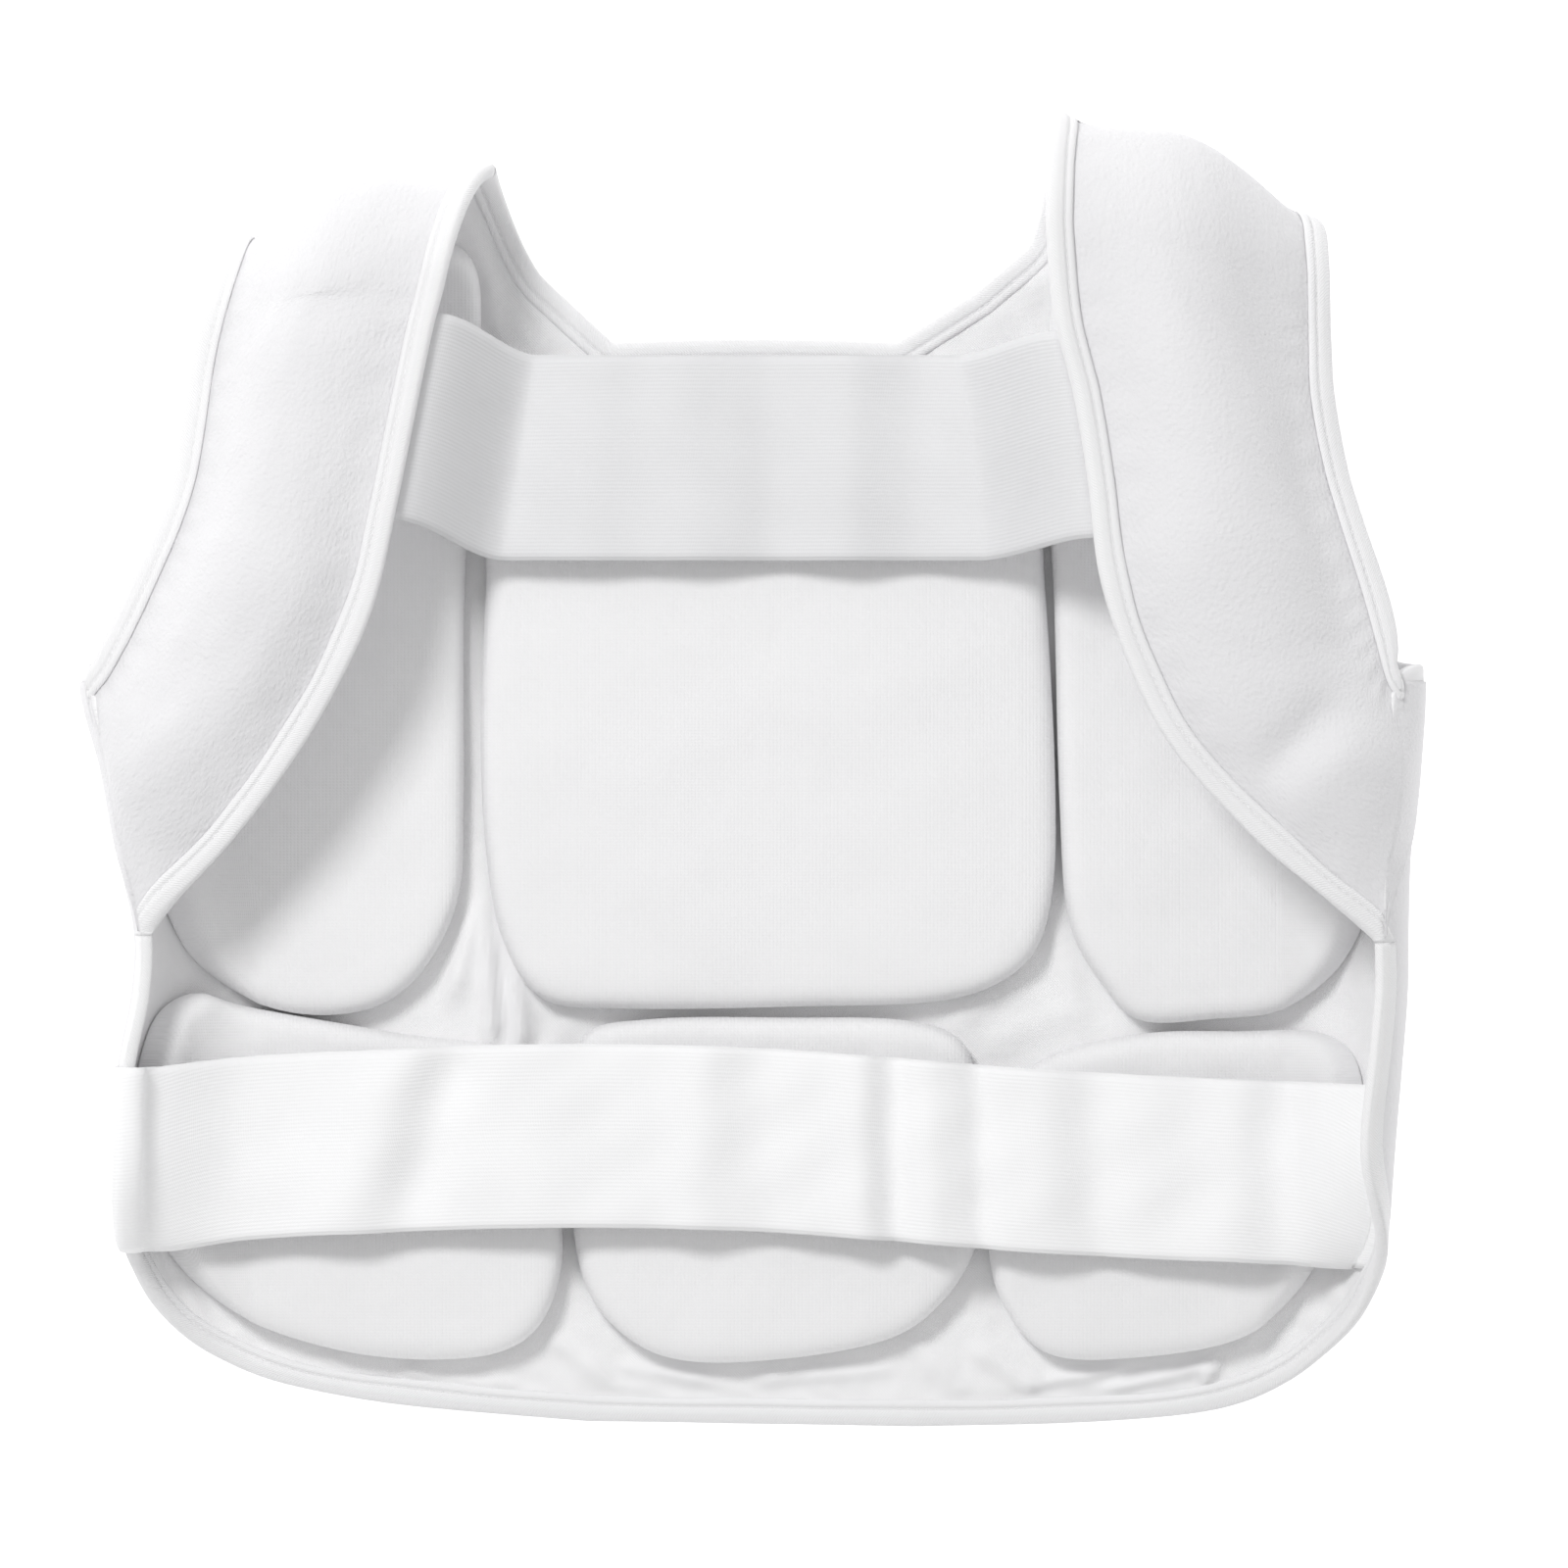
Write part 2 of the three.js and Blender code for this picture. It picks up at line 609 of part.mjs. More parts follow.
function bindings() {
  const sideRows = [...stepsFrom(0, TIP_ROW - TIP_TRIM), panelRow(TIP_ROW - TIP_TRIM)];
  const left = sideRows.map(edgeOf("left"));
  const right = sideRows.map(edgeOf("right"));
  const hem = [...left.reverse(), ...bodyRows[0].slice(1, -1), ...right];
  const middle = (bodyRows[0].length - 1) / 2;
  const top = bodyRows.at(-1);
  const inner = (name) => strapRows[name].map((row) => ({ ...row[0], toward: row[1] }));
  const neck = [
    ...inner("left").reverse(),
    ...top.slice(middle - 1, middle + 2),
    ...inner("right"),
  ];
  const armhole = (name) => [
    ...stepsFrom(ARMPIT_ROW + ARMPIT_TRIM, PANEL_ROWS.length).map(edgeOf(name)),
    ...strapRows[name].map((row) => ({ ...row.at(-1), toward: row.at(-2) })),
  ];
  return [
    panelBinding("hem_binding", hem, 1),
    panelBinding("neck_binding", neck, -1),
    panelBinding("left_armhole_binding", armhole("left"), -1),
    panelBinding("right_armhole_binding", armhole("right"), 1),
  ];
}

// A pad's outline resampled evenly along a closed smooth curve
function padOutline(name) {
  const corners = PADS[name].map((p) => new THREE.Vector3(p.across * HALF_WIDTH, p.up * HALF_LENGTH, 0));
  const curve = new THREE.CatmullRomCurve3(corners, true, "centripetal");
  return curve.getSpacedPoints(PAD_POINTS).slice(0, PAD_POINTS);
}

function insetRing(outline, distance) {
  return outline.map((p, i) => {
    const before = outline.at(i - 1);
    const after = outline[(i + 1) % outline.length];
    const along = after.clone().sub(before).normalize();
    return new THREE.Vector3(p.x + along.y * distance, p.y - along.x * distance, 0);
  });
}

function pad(name) {
  const outline = padOutline(name);
  const base = SHELL_WALL + CURVED_CLEAR;
  const centre = outline.reduce((sum, p) => sum.add(p), new THREE.Vector3()).divideScalar(PAD_POINTS);
  const ring = (places, height) => places.map((p) => panelPoint(p.x, p.y, base + height * PAD_THICK));
  const scaled = (places, share) => places.map((p) => centre.clone().lerp(p, share));
  const inner = insetRing(outline, PAD_THICK);
  const rings = [
    ...PAD_RINGS.map((share) => ring(scaled(inner, share), 0)).reverse(),
    ...PAD_SECTION.map((step) => ring(insetRing(outline, step.inset * PAD_THICK), step.height)),
    ...PAD_RINGS.map((share) => ring(scaled(inner, share), 1)),
  ];
  const points = rings.flat();
  const ends = [ring([centre], 0)[0], ring([centre], 1)[0]];
  const [bottom, top] = [points.length, points.length + 1];
  const triangles = [];
  for (let j = 0; j < PAD_POINTS; j += 1) {
    const k = (j + 1) % PAD_POINTS;
    for (let i = 0; i < rings.length - 1; i += 1) {
      const [a, b] = [i * PAD_POINTS + j, i * PAD_POINTS + k];
      triangles.push([a, b, b + PAD_POINTS], [a, b + PAD_POINTS, a + PAD_POINTS]);
    }
    const lastRing = (rings.length - 1) * PAD_POINTS;
    triangles.push([bottom, k, j], [lastRing + j, lastRing + k, top]);
  }
  return solid(name, [...points, ...ends], triangles, jersey);
}

// The rows of a wing: the two ends of its inner face, and its crown between them
function wingRows(name) {
  const side = SIDES[name];
  const foldEnd = (share, fold) => {
    const x = side.sign * share * HALF_WIDTH;
    return folded(side, x, foldLevel(side, x, fold), SHELL_WALL);
  };
  const rows = WING_FOLD_ROWS[name].map((row) => {
    const fold = Math.max(row.fold, 1 + seamShare);
    return { inner: foldEnd(row.inner, fold), arm: foldEnd(row.outer, fold), crown: 0, fold };
  });
  const seam = [0, 1].map((share) => onSeam(name, SHELL_WALL)(null, share));
  const top = rows.at(-1);
  for (const row of WING_ROWS[name]) {
    const end = (across, up, high, low, fall) =>
      new THREE.Vector3(side.sign * across * HALF_WIDTH, up * HALF_LENGTH, mix(high.z, low.z, fall));
    rows.push({
      inner: end(row.inner, row.innerUp, top.inner, seam[0], row.innerFall),
      arm: end(row.arm, row.armUp, top.arm, seam[1], row.armFall),
      crown: row.crown * WING_CROWN,
    });
  }
  rows.push({ inner: seam[0], arm: seam[1], crown: 0, seam: true });
  return rows;
}

// Shares of a wing's row, from the inner edge to the armhole: rims at both edges, then the padding
function wingShares(row) {
  const long = row.inner.distanceTo(row.arm);
  const [rim, slope] = [SEWN_RIM / long, (SEWN_RIM + RIM_SLOPE) / long];
  return [0, rim, slope, 0.35, 0.5, 0.65, 1 - slope, 1 - rim, 1];
}
const WING_PADDING = [0, 0, 0.7, 1, 1, 1, 0.7, 0, 0]; // share of the padding in each column

// A place on a wing's row beside the side seam, or round the shoulder fold, h above its outer face
function onSeam(name, h) {
  const side = SIDES[name];
  const up = (step) => PANEL_ROWS[step][`${name}Up`] * HALF_LENGTH;
  return (row, share) => {
    const y = mix(up(TIP_ROW), up(ARMPIT_ROW), share);
    return panelPoint(acrossToPattern(side, 2, y) + side.sign * CURVED_CLEAR, y, h);
  };
}
function onFold(name, row, share, h) {
  const x = mix(row.inner.x, row.arm.x, share);
  return folded(SIDES[name], x, foldLevel(SIDES[name], x, row.fold), h);
}

function wingBase(name, row, share) {
  if (row.seam) return onSeam(name, SHELL_WALL)(row, share);
  if (row.fold) return onFold(name, row, share, SHELL_WALL);
  const place = row.inner.clone().lerp(row.arm, share);
  place.z += row.crown * Math.sin(Math.PI * share) ** 2;
  return place;
}

function wingGrid(name) {
  const rows = wingRows(name);
  const base = rows.map((row) => wingShares(row).map((share) => wingBase(name, row, share)));
  const { sign } = SIDES[name];
  const normal = (i, j) => {
    const down = base[Math.min(i + 1, base.length - 1)][j].clone().sub(base[Math.max(i - 1, 0)][j]);
    const across = base[i][Math.min(j + 1, base[i].length - 1)].clone().sub(base[i][Math.max(j - 1, 0)]);
    return across.cross(down).multiplyScalar(-sign).normalize();
  };
  // Beside the shoulder and side seams a wing faces as its neighbour does
  const seams = { 0: (row, share) => onFold(name, row, share, 0), [rows.length - 1]: onSeam(name, 0) };
  const normals = base.map((row, i) =>
    row.map((p, j) => {
      if (!seams[i]) return normal(i, j);
      return seams[i](rows[i], wingShares(rows[i])[j]).sub(p).normalize();
    }),
  );
  // The flat rims face one way across their width
  for (const row of normals) {
    const rims = [
      [0, 1],
      [row.length - 1, row.length - 2],
    ];
    for (const [at, next] of rims) {
      row[at].add(row[next]).normalize();
      row[next].copy(row[at]);
    }
  }
  return { rows, base, normals };
}

function wing(name) {
  const { rows, base, normals } = wingGrid(name);
  const last = rows.length - 1;
  const outer = base.map((row, i) =>
    row.map((p, j) => {
      const padding = i === 0 || i === last ? 0 : WING_PADDING[j] * (WING_THICK - SHELL_WALL);
      return p.clone().addScaledVector(normals[i][j], SHELL_WALL + padding);
    }),
  );
  const cells = gridCells(rows.length, base[0].length);
  return sheetBody(`${name}_wing`, base.flat(), outer.flat(), cells, fleece);
}

function wingBinding(name, edge) {
  const { base, normals } = wingGrid(name);
  const inner = edge === "inner";
  const section = bindingU(SHELL_WALL, inner ? BINDING_CLEAR : ARM_CLEAR);
  const [at, next] = inner ? [0, 1] : [base[0].length - 1, base[0].length - 2];
  const stations = base.slice(0, inner ? -1 : -2).map((row, i) => {
    const inward = row[next].clone().sub(row[at]).normalize();
    const up = normals[i][at];
    return section.map(([d, h]) => row[at].clone().addScaledVector(inward, d).addScaledVector(up, h));
  });
  return sweep(`${name}_wing_${edge}_binding`, stations, tape);
}

// A band as a closed strip between two sheets
function band(name, rows, wall) {
  const columns = rows[0].length;
  const normal = (i, j) => {
    const across = rows[i][Math.min(j + 1, columns - 1)].clone().sub(rows[i][Math.max(j - 1, 0)]);
    const up = rows[Math.min(i + 1, rows.length - 1)][j].clone().sub(rows[Math.max(i - 1, 0)][j]);
    return across.cross(up).normalize();
  };
  const raised = rows.map((row, i) => row.map((p, j) => p.clone().addScaledVector(normal(i, j), wall)));
  return sheetBody(name, rows.flat(), raised.flat(), gridCells(rows.length, columns), elastic);
}

// The underside of a wing beside its inner edge, at a level, so far in and so far below
function underWing(name, y, inward, below) {
  const { base, normals } = wingGrid(name);
  const from = WING_FOLD_ROWS[name].length - 2;
  const keys = base.slice(from).map((row) => -row[0].y);
  const pick = (grid, j) => {
    const axis = (k) => through(keys, grid.slice(from).map((row) => row[j].getComponent(k)), -y);
    return new THREE.Vector3(axis(0), axis(1), axis(2));
  };
  const edge = pick(base, 0);
  const toRim = pick(base, 1).sub(edge).normalize();
  return edge.addScaledVector(toRim, inward).addScaledVector(pick(normals, 0).normalize(), -below);
}

const padTop = SHELL_WALL + CURVED_CLEAR + PAD_THICK;
const bandLow = padTop + BAND_REST;

// Shares of the upper band's span, close together where it comes down from the wings
const UPPER_COLUMNS = [
  0, 0.04, 0.08, 0.12, 0.16, 0.24, 0.33, 0.42, 0.5, 0.58, 0.67, 0.76, 0.84, 0.88, 0.92, 0.96, 1,
];
function upperBand() {
  const drop = BINDING_STACK + CLEAR + BAND_WALL;
  const rows = [-0.5, 0, 0.5].map((v) => {
    const level = (up) => up * HALF_LENGTH + v * UPPER_BAND;
    const end = { left: level(UPPER_BAND_UP.left), right: level(UPPER_BAND_UP.right) };
    const lap = (name, inward) => underWing(name, end[name], inward, drop);
    const [from, to] = [lap("left", 0), lap("right", 0)];
    const span = UPPER_COLUMNS.map((u) => {
      const near = Math.min(u, 1 - u) / UPPER_BAND_DROP;
      const down = THREE.MathUtils.smoothstep(near, 0, 1);
      const high = u < 0.5 ? from : to;
      const y = mix(high.y, level(UPPER_BAND_UP.middle), down);
      return new THREE.Vector3(mix(from.x, to.x, u), y, mix(high.z, bandLow, down));
    });
    return [lap("left", BAND_LAP), ...span, lap("right", BAND_LAP)];
  });
  return band("upper_band", rows, BAND_WALL);
}

// The lower band: sewn down the outside of the left side, over its edge, slack across the pads,
// and up to the inner face of the right side, where it ends short of the binding
function lowerBand() {
  const keys = column(LOWER_BAND_LINE, "across");
  const middleLine = (x) => through(keys, column(LOWER_BAND_LINE, "up"), x / HALF_WIDTH) * HALF_LENGTH;
  const rows = [-0.5, -0.375, -0.25, 0, 0.25, 0.5].map((v) => {
    const level = (x) => middleLine(x) + v * LOWER_BAND;
    const ends = Object.values(SIDES).map((side) => {
      const y = level(side.sign * HALF_WIDTH);
      const slant = (edgeAt(side.name, y + 1) - edgeAt(side.name, y - 1)) / 2; // over 1 mm either way
      return { side, y, edge: edgeAt(side.name, y), stretch: Math.hypot(1, slant) };
    });
    const [onLeft, onRight] = ends.map(({ side, y, edge }) => (fromEdge, h) =>
      panelPoint(edge - side.sign * fromEdge, y, h),
    );
    const lapEnd = acrossToPattern(SIDES.left, 2, ends[0].y) + LOWER_LAP;
    const lap = lapEnd - ends[0].edge;
    const left = [1, 0.8, 0.6, 0.4, 0.2, 0].map((k) => onLeft(k * lap, -CURVED_CLEAR));
    const past = BINDING_STACK * ends[0].stretch + BAND_BULGE;
    left.push(onLeft(-past, 0), onLeft(-past, SHELL_WALL + past));
    left.push(onLeft(BINDING_REACH, (SHELL_WALL + padTop) / 2));
    const inside = SHELL_WALL + CURVED_CLEAR;
    const reach = BINDING_REACH * ends[1].stretch + BINDING_STACK;
    const right = [1, 0.5, 0].map((k) => onRight(reach + k * RIGHT_LAP, inside));
    const flatX = [flatHalf(SIDES.left, level(-HALF_WIDTH)), flatHalf(SIDES.right, level(HALF_WIDTH))];
    const slack = [-1, -0.75, -0.5, -0.25, 0, 0.25, 0.5, 0.75, 1].map((t) => {
      const x = t * (t < 0 ? flatX[0] : flatX[1]);
      return new THREE.Vector3(x, level(x), bandLow);
    });
    return [...left, ...slack, ...right];
  });
  return band("lower_band", rows, BAND_WALL);
}

const protector = new THREE.Group();
protector.add(frontShell(), ...Object.keys(PADS).map(pad));
for (const name of ["left", "right"]) {
  protector.add(wing(name), wingBinding(name, "inner"), wingBinding(name, "armhole"));
}
protector.add(upperBand(), lowerBand(), ...bindings());

export default protector;
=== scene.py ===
# Padded chest protector, dressed for the render. It lies on its front with its inner face up: X runs
# across the wearer, Y from the hem to the shoulders, Z up. The cloth follows the same pattern as the
# solids: the front panel is flat (s across, y up), turned up round both sides and folded back over
# the shoulders. Sizes are metres.
import math

import bpy
import numpy as np
from mathutils.kdtree import KDTree
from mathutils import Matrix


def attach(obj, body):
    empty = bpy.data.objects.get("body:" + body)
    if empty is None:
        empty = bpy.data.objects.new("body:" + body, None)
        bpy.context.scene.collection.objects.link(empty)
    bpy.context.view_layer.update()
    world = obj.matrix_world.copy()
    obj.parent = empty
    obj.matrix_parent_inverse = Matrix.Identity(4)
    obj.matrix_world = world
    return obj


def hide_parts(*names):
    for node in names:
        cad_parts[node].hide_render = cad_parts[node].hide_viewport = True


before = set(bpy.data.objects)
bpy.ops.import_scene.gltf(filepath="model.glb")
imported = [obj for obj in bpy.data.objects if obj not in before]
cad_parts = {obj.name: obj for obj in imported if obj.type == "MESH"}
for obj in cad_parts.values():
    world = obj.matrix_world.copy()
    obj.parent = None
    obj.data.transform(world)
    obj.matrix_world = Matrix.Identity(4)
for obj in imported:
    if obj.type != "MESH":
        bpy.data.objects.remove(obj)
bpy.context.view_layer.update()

# Sizes of the solids that the cloth covers
HALF_WIDTH = 0.244
HALF_LENGTH = 0.24
SIDE_ROUND = 0.045
TURNS = {"left": math.radians(110), "right": math.radians(128)}
SHELL_WALL = 0.004
PAD_THICK = 0.0155
PAD_BASE = SHELL_WALL + 0.0003
WING_THICK = 0.011
WING_CROWN = 0.009
SEWN_RIM = 0.008
PADDING_RISE = 0.042
UPPER_BAND = 0.075
LOWER_BAND = 0.067
BAND_WALL = 0.0016
BAND_LOW = 0.031
LOWER_LAP = 0.048
BAND_LAP = 0.014
BINDING_REACH = 0.0078
TAPE_WALL = 0.0011
TAPE_CLEAR = 0.0003
SEAM_GAP = 0.0003

# The shoulder fold from the neck to the arm: across and up as shares, and its outer radius
FOLDS = {
    "left": {"neck": (0.389, 0.92, 0.045), "arm": (0.775, 0.804, 0.03)},
    "right": {"neck": (0.455, 1.0, 0.045), "arm": (0.84, 0.84, 0.03)},
}
SIGN = {"left": -1, "right": 1}
NECK_SHARE = 0.28
TIP_ROW = 11
ARMPIT_ROW = 13

# Half width of the body at each level: up, left, right, as shares of the half sizes
WIDTHS = [
    (-1.0, 0.92, 0.94),
    (-0.77, 0.935, 0.945),
    (-0.6, 0.95, 0.955),
    (-0.45, 0.946, 0.967),
    (-0.33, 0.925, 0.976),
    (-0.24, 0.922, 0.977),
    (-0.13, 0.945, 0.98),
    (0.0, 0.968, 0.992),
    (0.14, 1.0, 1.0),
    (1.1, 1.0, 1.0),
]
# Rows of the front panel from the hem to the neckline: left across, left up, right across, right up
# and bow. Across is 0 at the middle, 1 where the side starts to turn up and 2 at the side edge.
PANEL_ROWS = [
    (0.334, -0.984, 0.325, -0.992, 0),
    (0.596, -0.968, 0.58, -0.988, -0.008),
    (0.8, -0.95, 0.81, -0.978, -0.004),
    (0.963, -0.924, 0.95, -0.96, 0),
    (1.172, -0.888, 1.11, -0.925, 0),
    (1.35, -0.85, 1.263, -0.882, 0),
    (1.527, -0.798, 1.42, -0.832, 0),
    (1.66, -0.75, 1.58, -0.77, 0),
    (1.86, -0.685, 1.82, -0.69, 0),
    (2, -0.58, 2, -0.58, 0),
    (2, -0.41, 2, -0.41, 0),
    (2, -0.24, 2, -0.25, 0),
    (2, -0.05, 2, -0.05, 0),
    (2, 0.137, 2, 0.137, 0),
    (1.5, 0.165, 1.42, 0.165, 0.01),
    (1.16, 0.25, 1.13, 0.25, 0.02),
    (1.0, 0.36, 1.0, 0.36, 0.03),
    (0.955, 0.48, 0.965, 0.48, 0.04),
    (0.93, 0.58, 0.95, 0.58, 0.075),
]
# Rows of a shoulder strap: share of the fold, then its inner and outer edges
STRAP_ROWS = {
    "left": [
        (-0.17, 0.262, 0.762),
        (0.02, 0.318, 0.764),
        (0.16, 0.342, 0.766),
        (0.3, 0.358, 0.768),
        (0.44, 0.37, 0.77),
        (0.58, 0.379, 0.772),
        (0.72, 0.385, 0.774),
        (0.86, 0.388, 0.775),
        (1.0, 0.389, 0.775),
    ],
    "right": [
        (-0.35, 0.34, 0.79),
        (-0.1, 0.413, 0.8),
        (0.05, 0.432, 0.81),
        (0.21, 0.442, 0.818),
        (0.37, 0.448, 0.825),
        (0.53, 0.452, 0.831),
        (0.69, 0.454, 0.836),
        (0.85, 0.455, 0.839),
        (1.0, 0.455, 0.84),
    ],
}
# The same of a wing over the shoulder, from fold 1 to fold 2
WING_FOLD_ROWS = {
    "left": [
        (1.0, 0.389, 0.775),
        (1.2, 0.406, 0.777),
        (1.4, 0.422, 0.782),
        (1.6, 0.437, 0.79),
        (1.8, 0.451, 0.8),
        (2.0, 0.463, 0.81),
    ],
    "right": [
        (1.0, 0.455, 0.84),
        (1.2, 0.45, 0.842),
        (1.4, 0.445, 0.844),
        (1.6, 0.441, 0.845),
        (1.8, 0.439, 0.847),
        (2.0, 0.439, 0.848),
    ],
}
# Then down the back of the armhole: inner across, up and fall, arm across, up and fall, crown
WING_ROWS = {
    "left": [
        (0.48, 0.657, 0.0, 0.824, 0.603, 0.0, 0.45),
        (0.506, 0.532, 0.04, 0.836, 0.528, 0.1, 0.7),
        (0.533, 0.399, 0.11, 0.85, 0.445, 0.2, 0.9),
        (0.566, 0.258, 0.22, 0.873, 0.374, 0.35, 1.0),
        (0.623, 0.129, 0.37, 0.906, 0.299, 0.5, 1.0),
        (0.697, 0.008, 0.52, 0.938, 0.229, 0.65, 1.0),
        (0.779, -0.1, 0.68, 0.962, 0.18, 0.8, 0.9),
        (0.848, -0.178, 0.84, 0.97, 0.158, 0.9, 0.6),
    ],
    "right": [
        (0.451, 0.686, 0.0, 0.849, 0.645, 0.0, 0.45),
        (0.48, 0.566, 0.04, 0.853, 0.566, 0.1, 0.7),
        (0.502, 0.433, 0.1, 0.873, 0.453, 0.2, 0.9),
        (0.519, 0.299, 0.2, 0.898, 0.37, 0.35, 1.0),
        (0.558, 0.175, 0.35, 0.926, 0.287, 0.5, 1.0),
        (0.623, 0.046, 0.5, 0.943, 0.225, 0.65, 1.0),
        (0.738, -0.083, 0.66, 0.95, 0.178, 0.8, 0.9),
        (0.84, -0.175, 0.82, 0.95, 0.156, 0.9, 0.6),
    ],
}
# Pad outlines, clockwise from the top left: across and up
PADS = {
    "centre_pad": [
        (-0.36, 0.55), (0.0, 0.575), (0.365, 0.55), (0.425, 0.44), (0.437, 0.3), (0.453, 0.0),
        (0.448, -0.19), (0.41, -0.29), (0.3, -0.345), (0.07, -0.357), (-0.2, -0.36),
        (-0.315, -0.345), (-0.375, -0.255), (-0.4, -0.12), (-0.408, 0.06), (-0.4, 0.3),
        (-0.4, 0.45),
    ],
    "left_side_pad": [
        (-0.62, 0.83), (-0.46, 0.83), (-0.41, 0.75), (-0.42, 0.5), (-0.433, 0.25),
        (-0.434, -0.05), (-0.442, -0.19), (-0.49, -0.295), (-0.56, -0.355), (-0.66, -0.37),
        (-0.76, -0.345), (-0.88, -0.27), (-0.95, -0.15), (-0.965, 0.0), (-0.91, 0.1),
        (-0.79, 0.2), (-0.72, 0.33), (-0.69, 0.5), (-0.68, 0.68),
    ],
    "right_side_pad": [
        (0.49, 0.85), (0.65, 0.84), (0.71, 0.72), (0.715, 0.5), (0.745, 0.33), (0.81, 0.2),
        (0.93, 0.1), (0.99, 0.0), (0.985, -0.15), (0.91, -0.285), (0.8, -0.36), (0.69, -0.376),
        (0.58, -0.378), (0.525, -0.325), (0.475, -0.23), (0.46, -0.05), (0.452, 0.25),
        (0.44, 0.5), (0.449, 0.72),
    ],
    "lower_left_pad": [
        (-0.97, -0.395), (-0.88, -0.338), (-0.78, -0.354), (-0.53, -0.398), (-0.36, -0.425),
        (-0.3, -0.5), (-0.29, -0.64), (-0.288, -0.76), (-0.33, -0.855), (-0.42, -0.892),
        (-0.6, -0.885), (-0.78, -0.825), (-0.92, -0.72), (-1.01, -0.57),
    ],
    "lower_centre_pad": [
        (-0.255, -0.405), (-0.16, -0.377), (0.05, -0.374), (0.24, -0.38), (0.32, -0.42),
        (0.34, -0.55), (0.34, -0.7), (0.29, -0.8), (0.2, -0.865), (0.0, -0.898),
        (-0.14, -0.888), (-0.23, -0.82), (-0.266, -0.72), (-0.272, -0.55),
    ],
    "lower_right_pad": [
        (0.46, -0.428), (0.59, -0.398), (0.72, -0.395), (0.88, -0.4), (0.95, -0.46),
        (0.955, -0.58), (0.89, -0.71), (0.82, -0.8), (0.72, -0.867), (0.55, -0.894),
        (0.44, -0.885), (0.38, -0.82), (0.355, -0.74), (0.355, -0.6), (0.375, -0.49),
    ],
}

# Smooth curves and the pattern


def through(keys, values, at):
    """A smooth curve through values at rising keys. Values may be numbers or points."""
    keys = np.asarray(keys, float)
    values = np.asarray(values, float)
    at = np.asarray(at, float)
    last = len(keys) - 1
    wide = (-1,) + (1,) * (values.ndim - 1)
    before = np.clip(np.arange(last + 1) - 1, 0, last)
    after = np.clip(np.arange(last + 1) + 1, 0, last)
    slopes = (values[after] - values[before]) / (keys[after] - keys[before]).reshape(wide)
    i = np.clip(np.searchsorted(keys, at, side="right") - 1, 0, last - 1)
    span = keys[i + 1] - keys[i]
    t = np.clip((at - keys[i]) / span, 0, 1)
    if values.ndim > 1:
        t = t.reshape(wide)
        span = span.reshape(wide)
    return (
        (2 * t**3 - 3 * t**2 + 1) * values[i]
        + (t**3 - 2 * t**2 + t) * span * slopes[i]
        + (3 * t**2 - 2 * t**3) * values[i + 1]
        + (t**3 - t**2) * span * slopes[i + 1]
    )


def column(table, index):
    return [row[index] for row in table]


def row_at(table, index, at):
    return through(range(len(table)), column(table, index), at)


def mix(a, b, t):
    return a + (b - a) * t


def smooth(t):
    t = np.clip(t, 0, 1)
    return t * t * (3 - 2 * t)


def flat_half(right, y):
    """Half of the flat part of the panel at a level; right says which points lie right of the middle."""
    up = column(WIDTHS, 0)
    level = np.asarray(y, float) / HALF_LENGTH
    left_share = through(up, column(WIDTHS, 1), level)
    right_share = through(up, column(WIDTHS, 2), level)
    return np.where(right, right_share, left_share) * HALF_WIDTH - SIDE_ROUND


def across_to_pattern(name, share, y):
    """The pattern place of a share across: 0 middle, 1 start of the turn, 2 side edge."""
    flat = flat_half(name == "right", y)
    turned = flat + (share - 1) * SIDE_ROUND * TURNS[name]
    return SIGN[name] * np.where(share <= 1, share * flat, turned)


def fold_at(x):
    """Radius of the shoulder fold at a place across, and the level where it starts."""
    found = []
    for name in ("left", "right"):
        neck, arm = np.array(FOLDS[name]["neck"]), np.array(FOLDS[name]["arm"])
        k = (np.abs(x) / HALF_WIDTH - neck[0]) / (arm[0] - neck[0])
        radius = mix(neck[2], arm[2], k)
        found.append((radius, mix(neck[1], arm[1], k) * HALF_LENGTH - radius))
    right = np.asarray(x) >= 0
    return tuple(np.where(right, b, a) for a, b in zip(*found))


def fold_level(x, share):
    """The pattern level where the fold has done a share of its quarter turn."""
    radius, start = fold_at(x)
    return start + share * radius * math.pi / 2


def folded(x, y, z):
    radius, start = fold_at(x)
    over = np.maximum((y - start) / radius, 0)
    reach = radius - z
    bent = over > 0
    return np.stack(
        [
            x,
            np.where(bent, start + reach * np.sin(over), y),
            np.where(bent, radius - reach * np.cos(over), z),
        ],
        axis=-1,
    )


def panel_point(s, y, h):
    """Points h above the panel's outer face, at pattern places (s, y)."""
    s, y, h = np.broadcast_arrays(*(np.asarray(v, float) for v in (s, y, h)))
    sign = np.where(s < 0, -1.0, 1.0)
    flat = flat_half(s >= 0, y)
    turned = np.maximum((np.abs(s) - flat) / SIDE_ROUND, 0)
    reach = SIDE_ROUND - h
    bent = turned > 0
    x = np.where(bent, sign * (flat + reach * np.sin(turned)), s)
    z = np.where(bent, SIDE_ROUND - reach * np.cos(turned), h)
    return folded(x, y, z)


def edge_places(name):
    """The pattern places where the panel's rows end on one side."""
    first = {"left": 0, "right": 2}[name]
    y = np.array(column(PANEL_ROWS, first + 1)) * HALF_LENGTH
    return np.abs(across_to_pattern(name, np.array(column(PANEL_ROWS, first)), y)), y


ROW_ENDS = {name: edge_places(name) for name in SIGN}


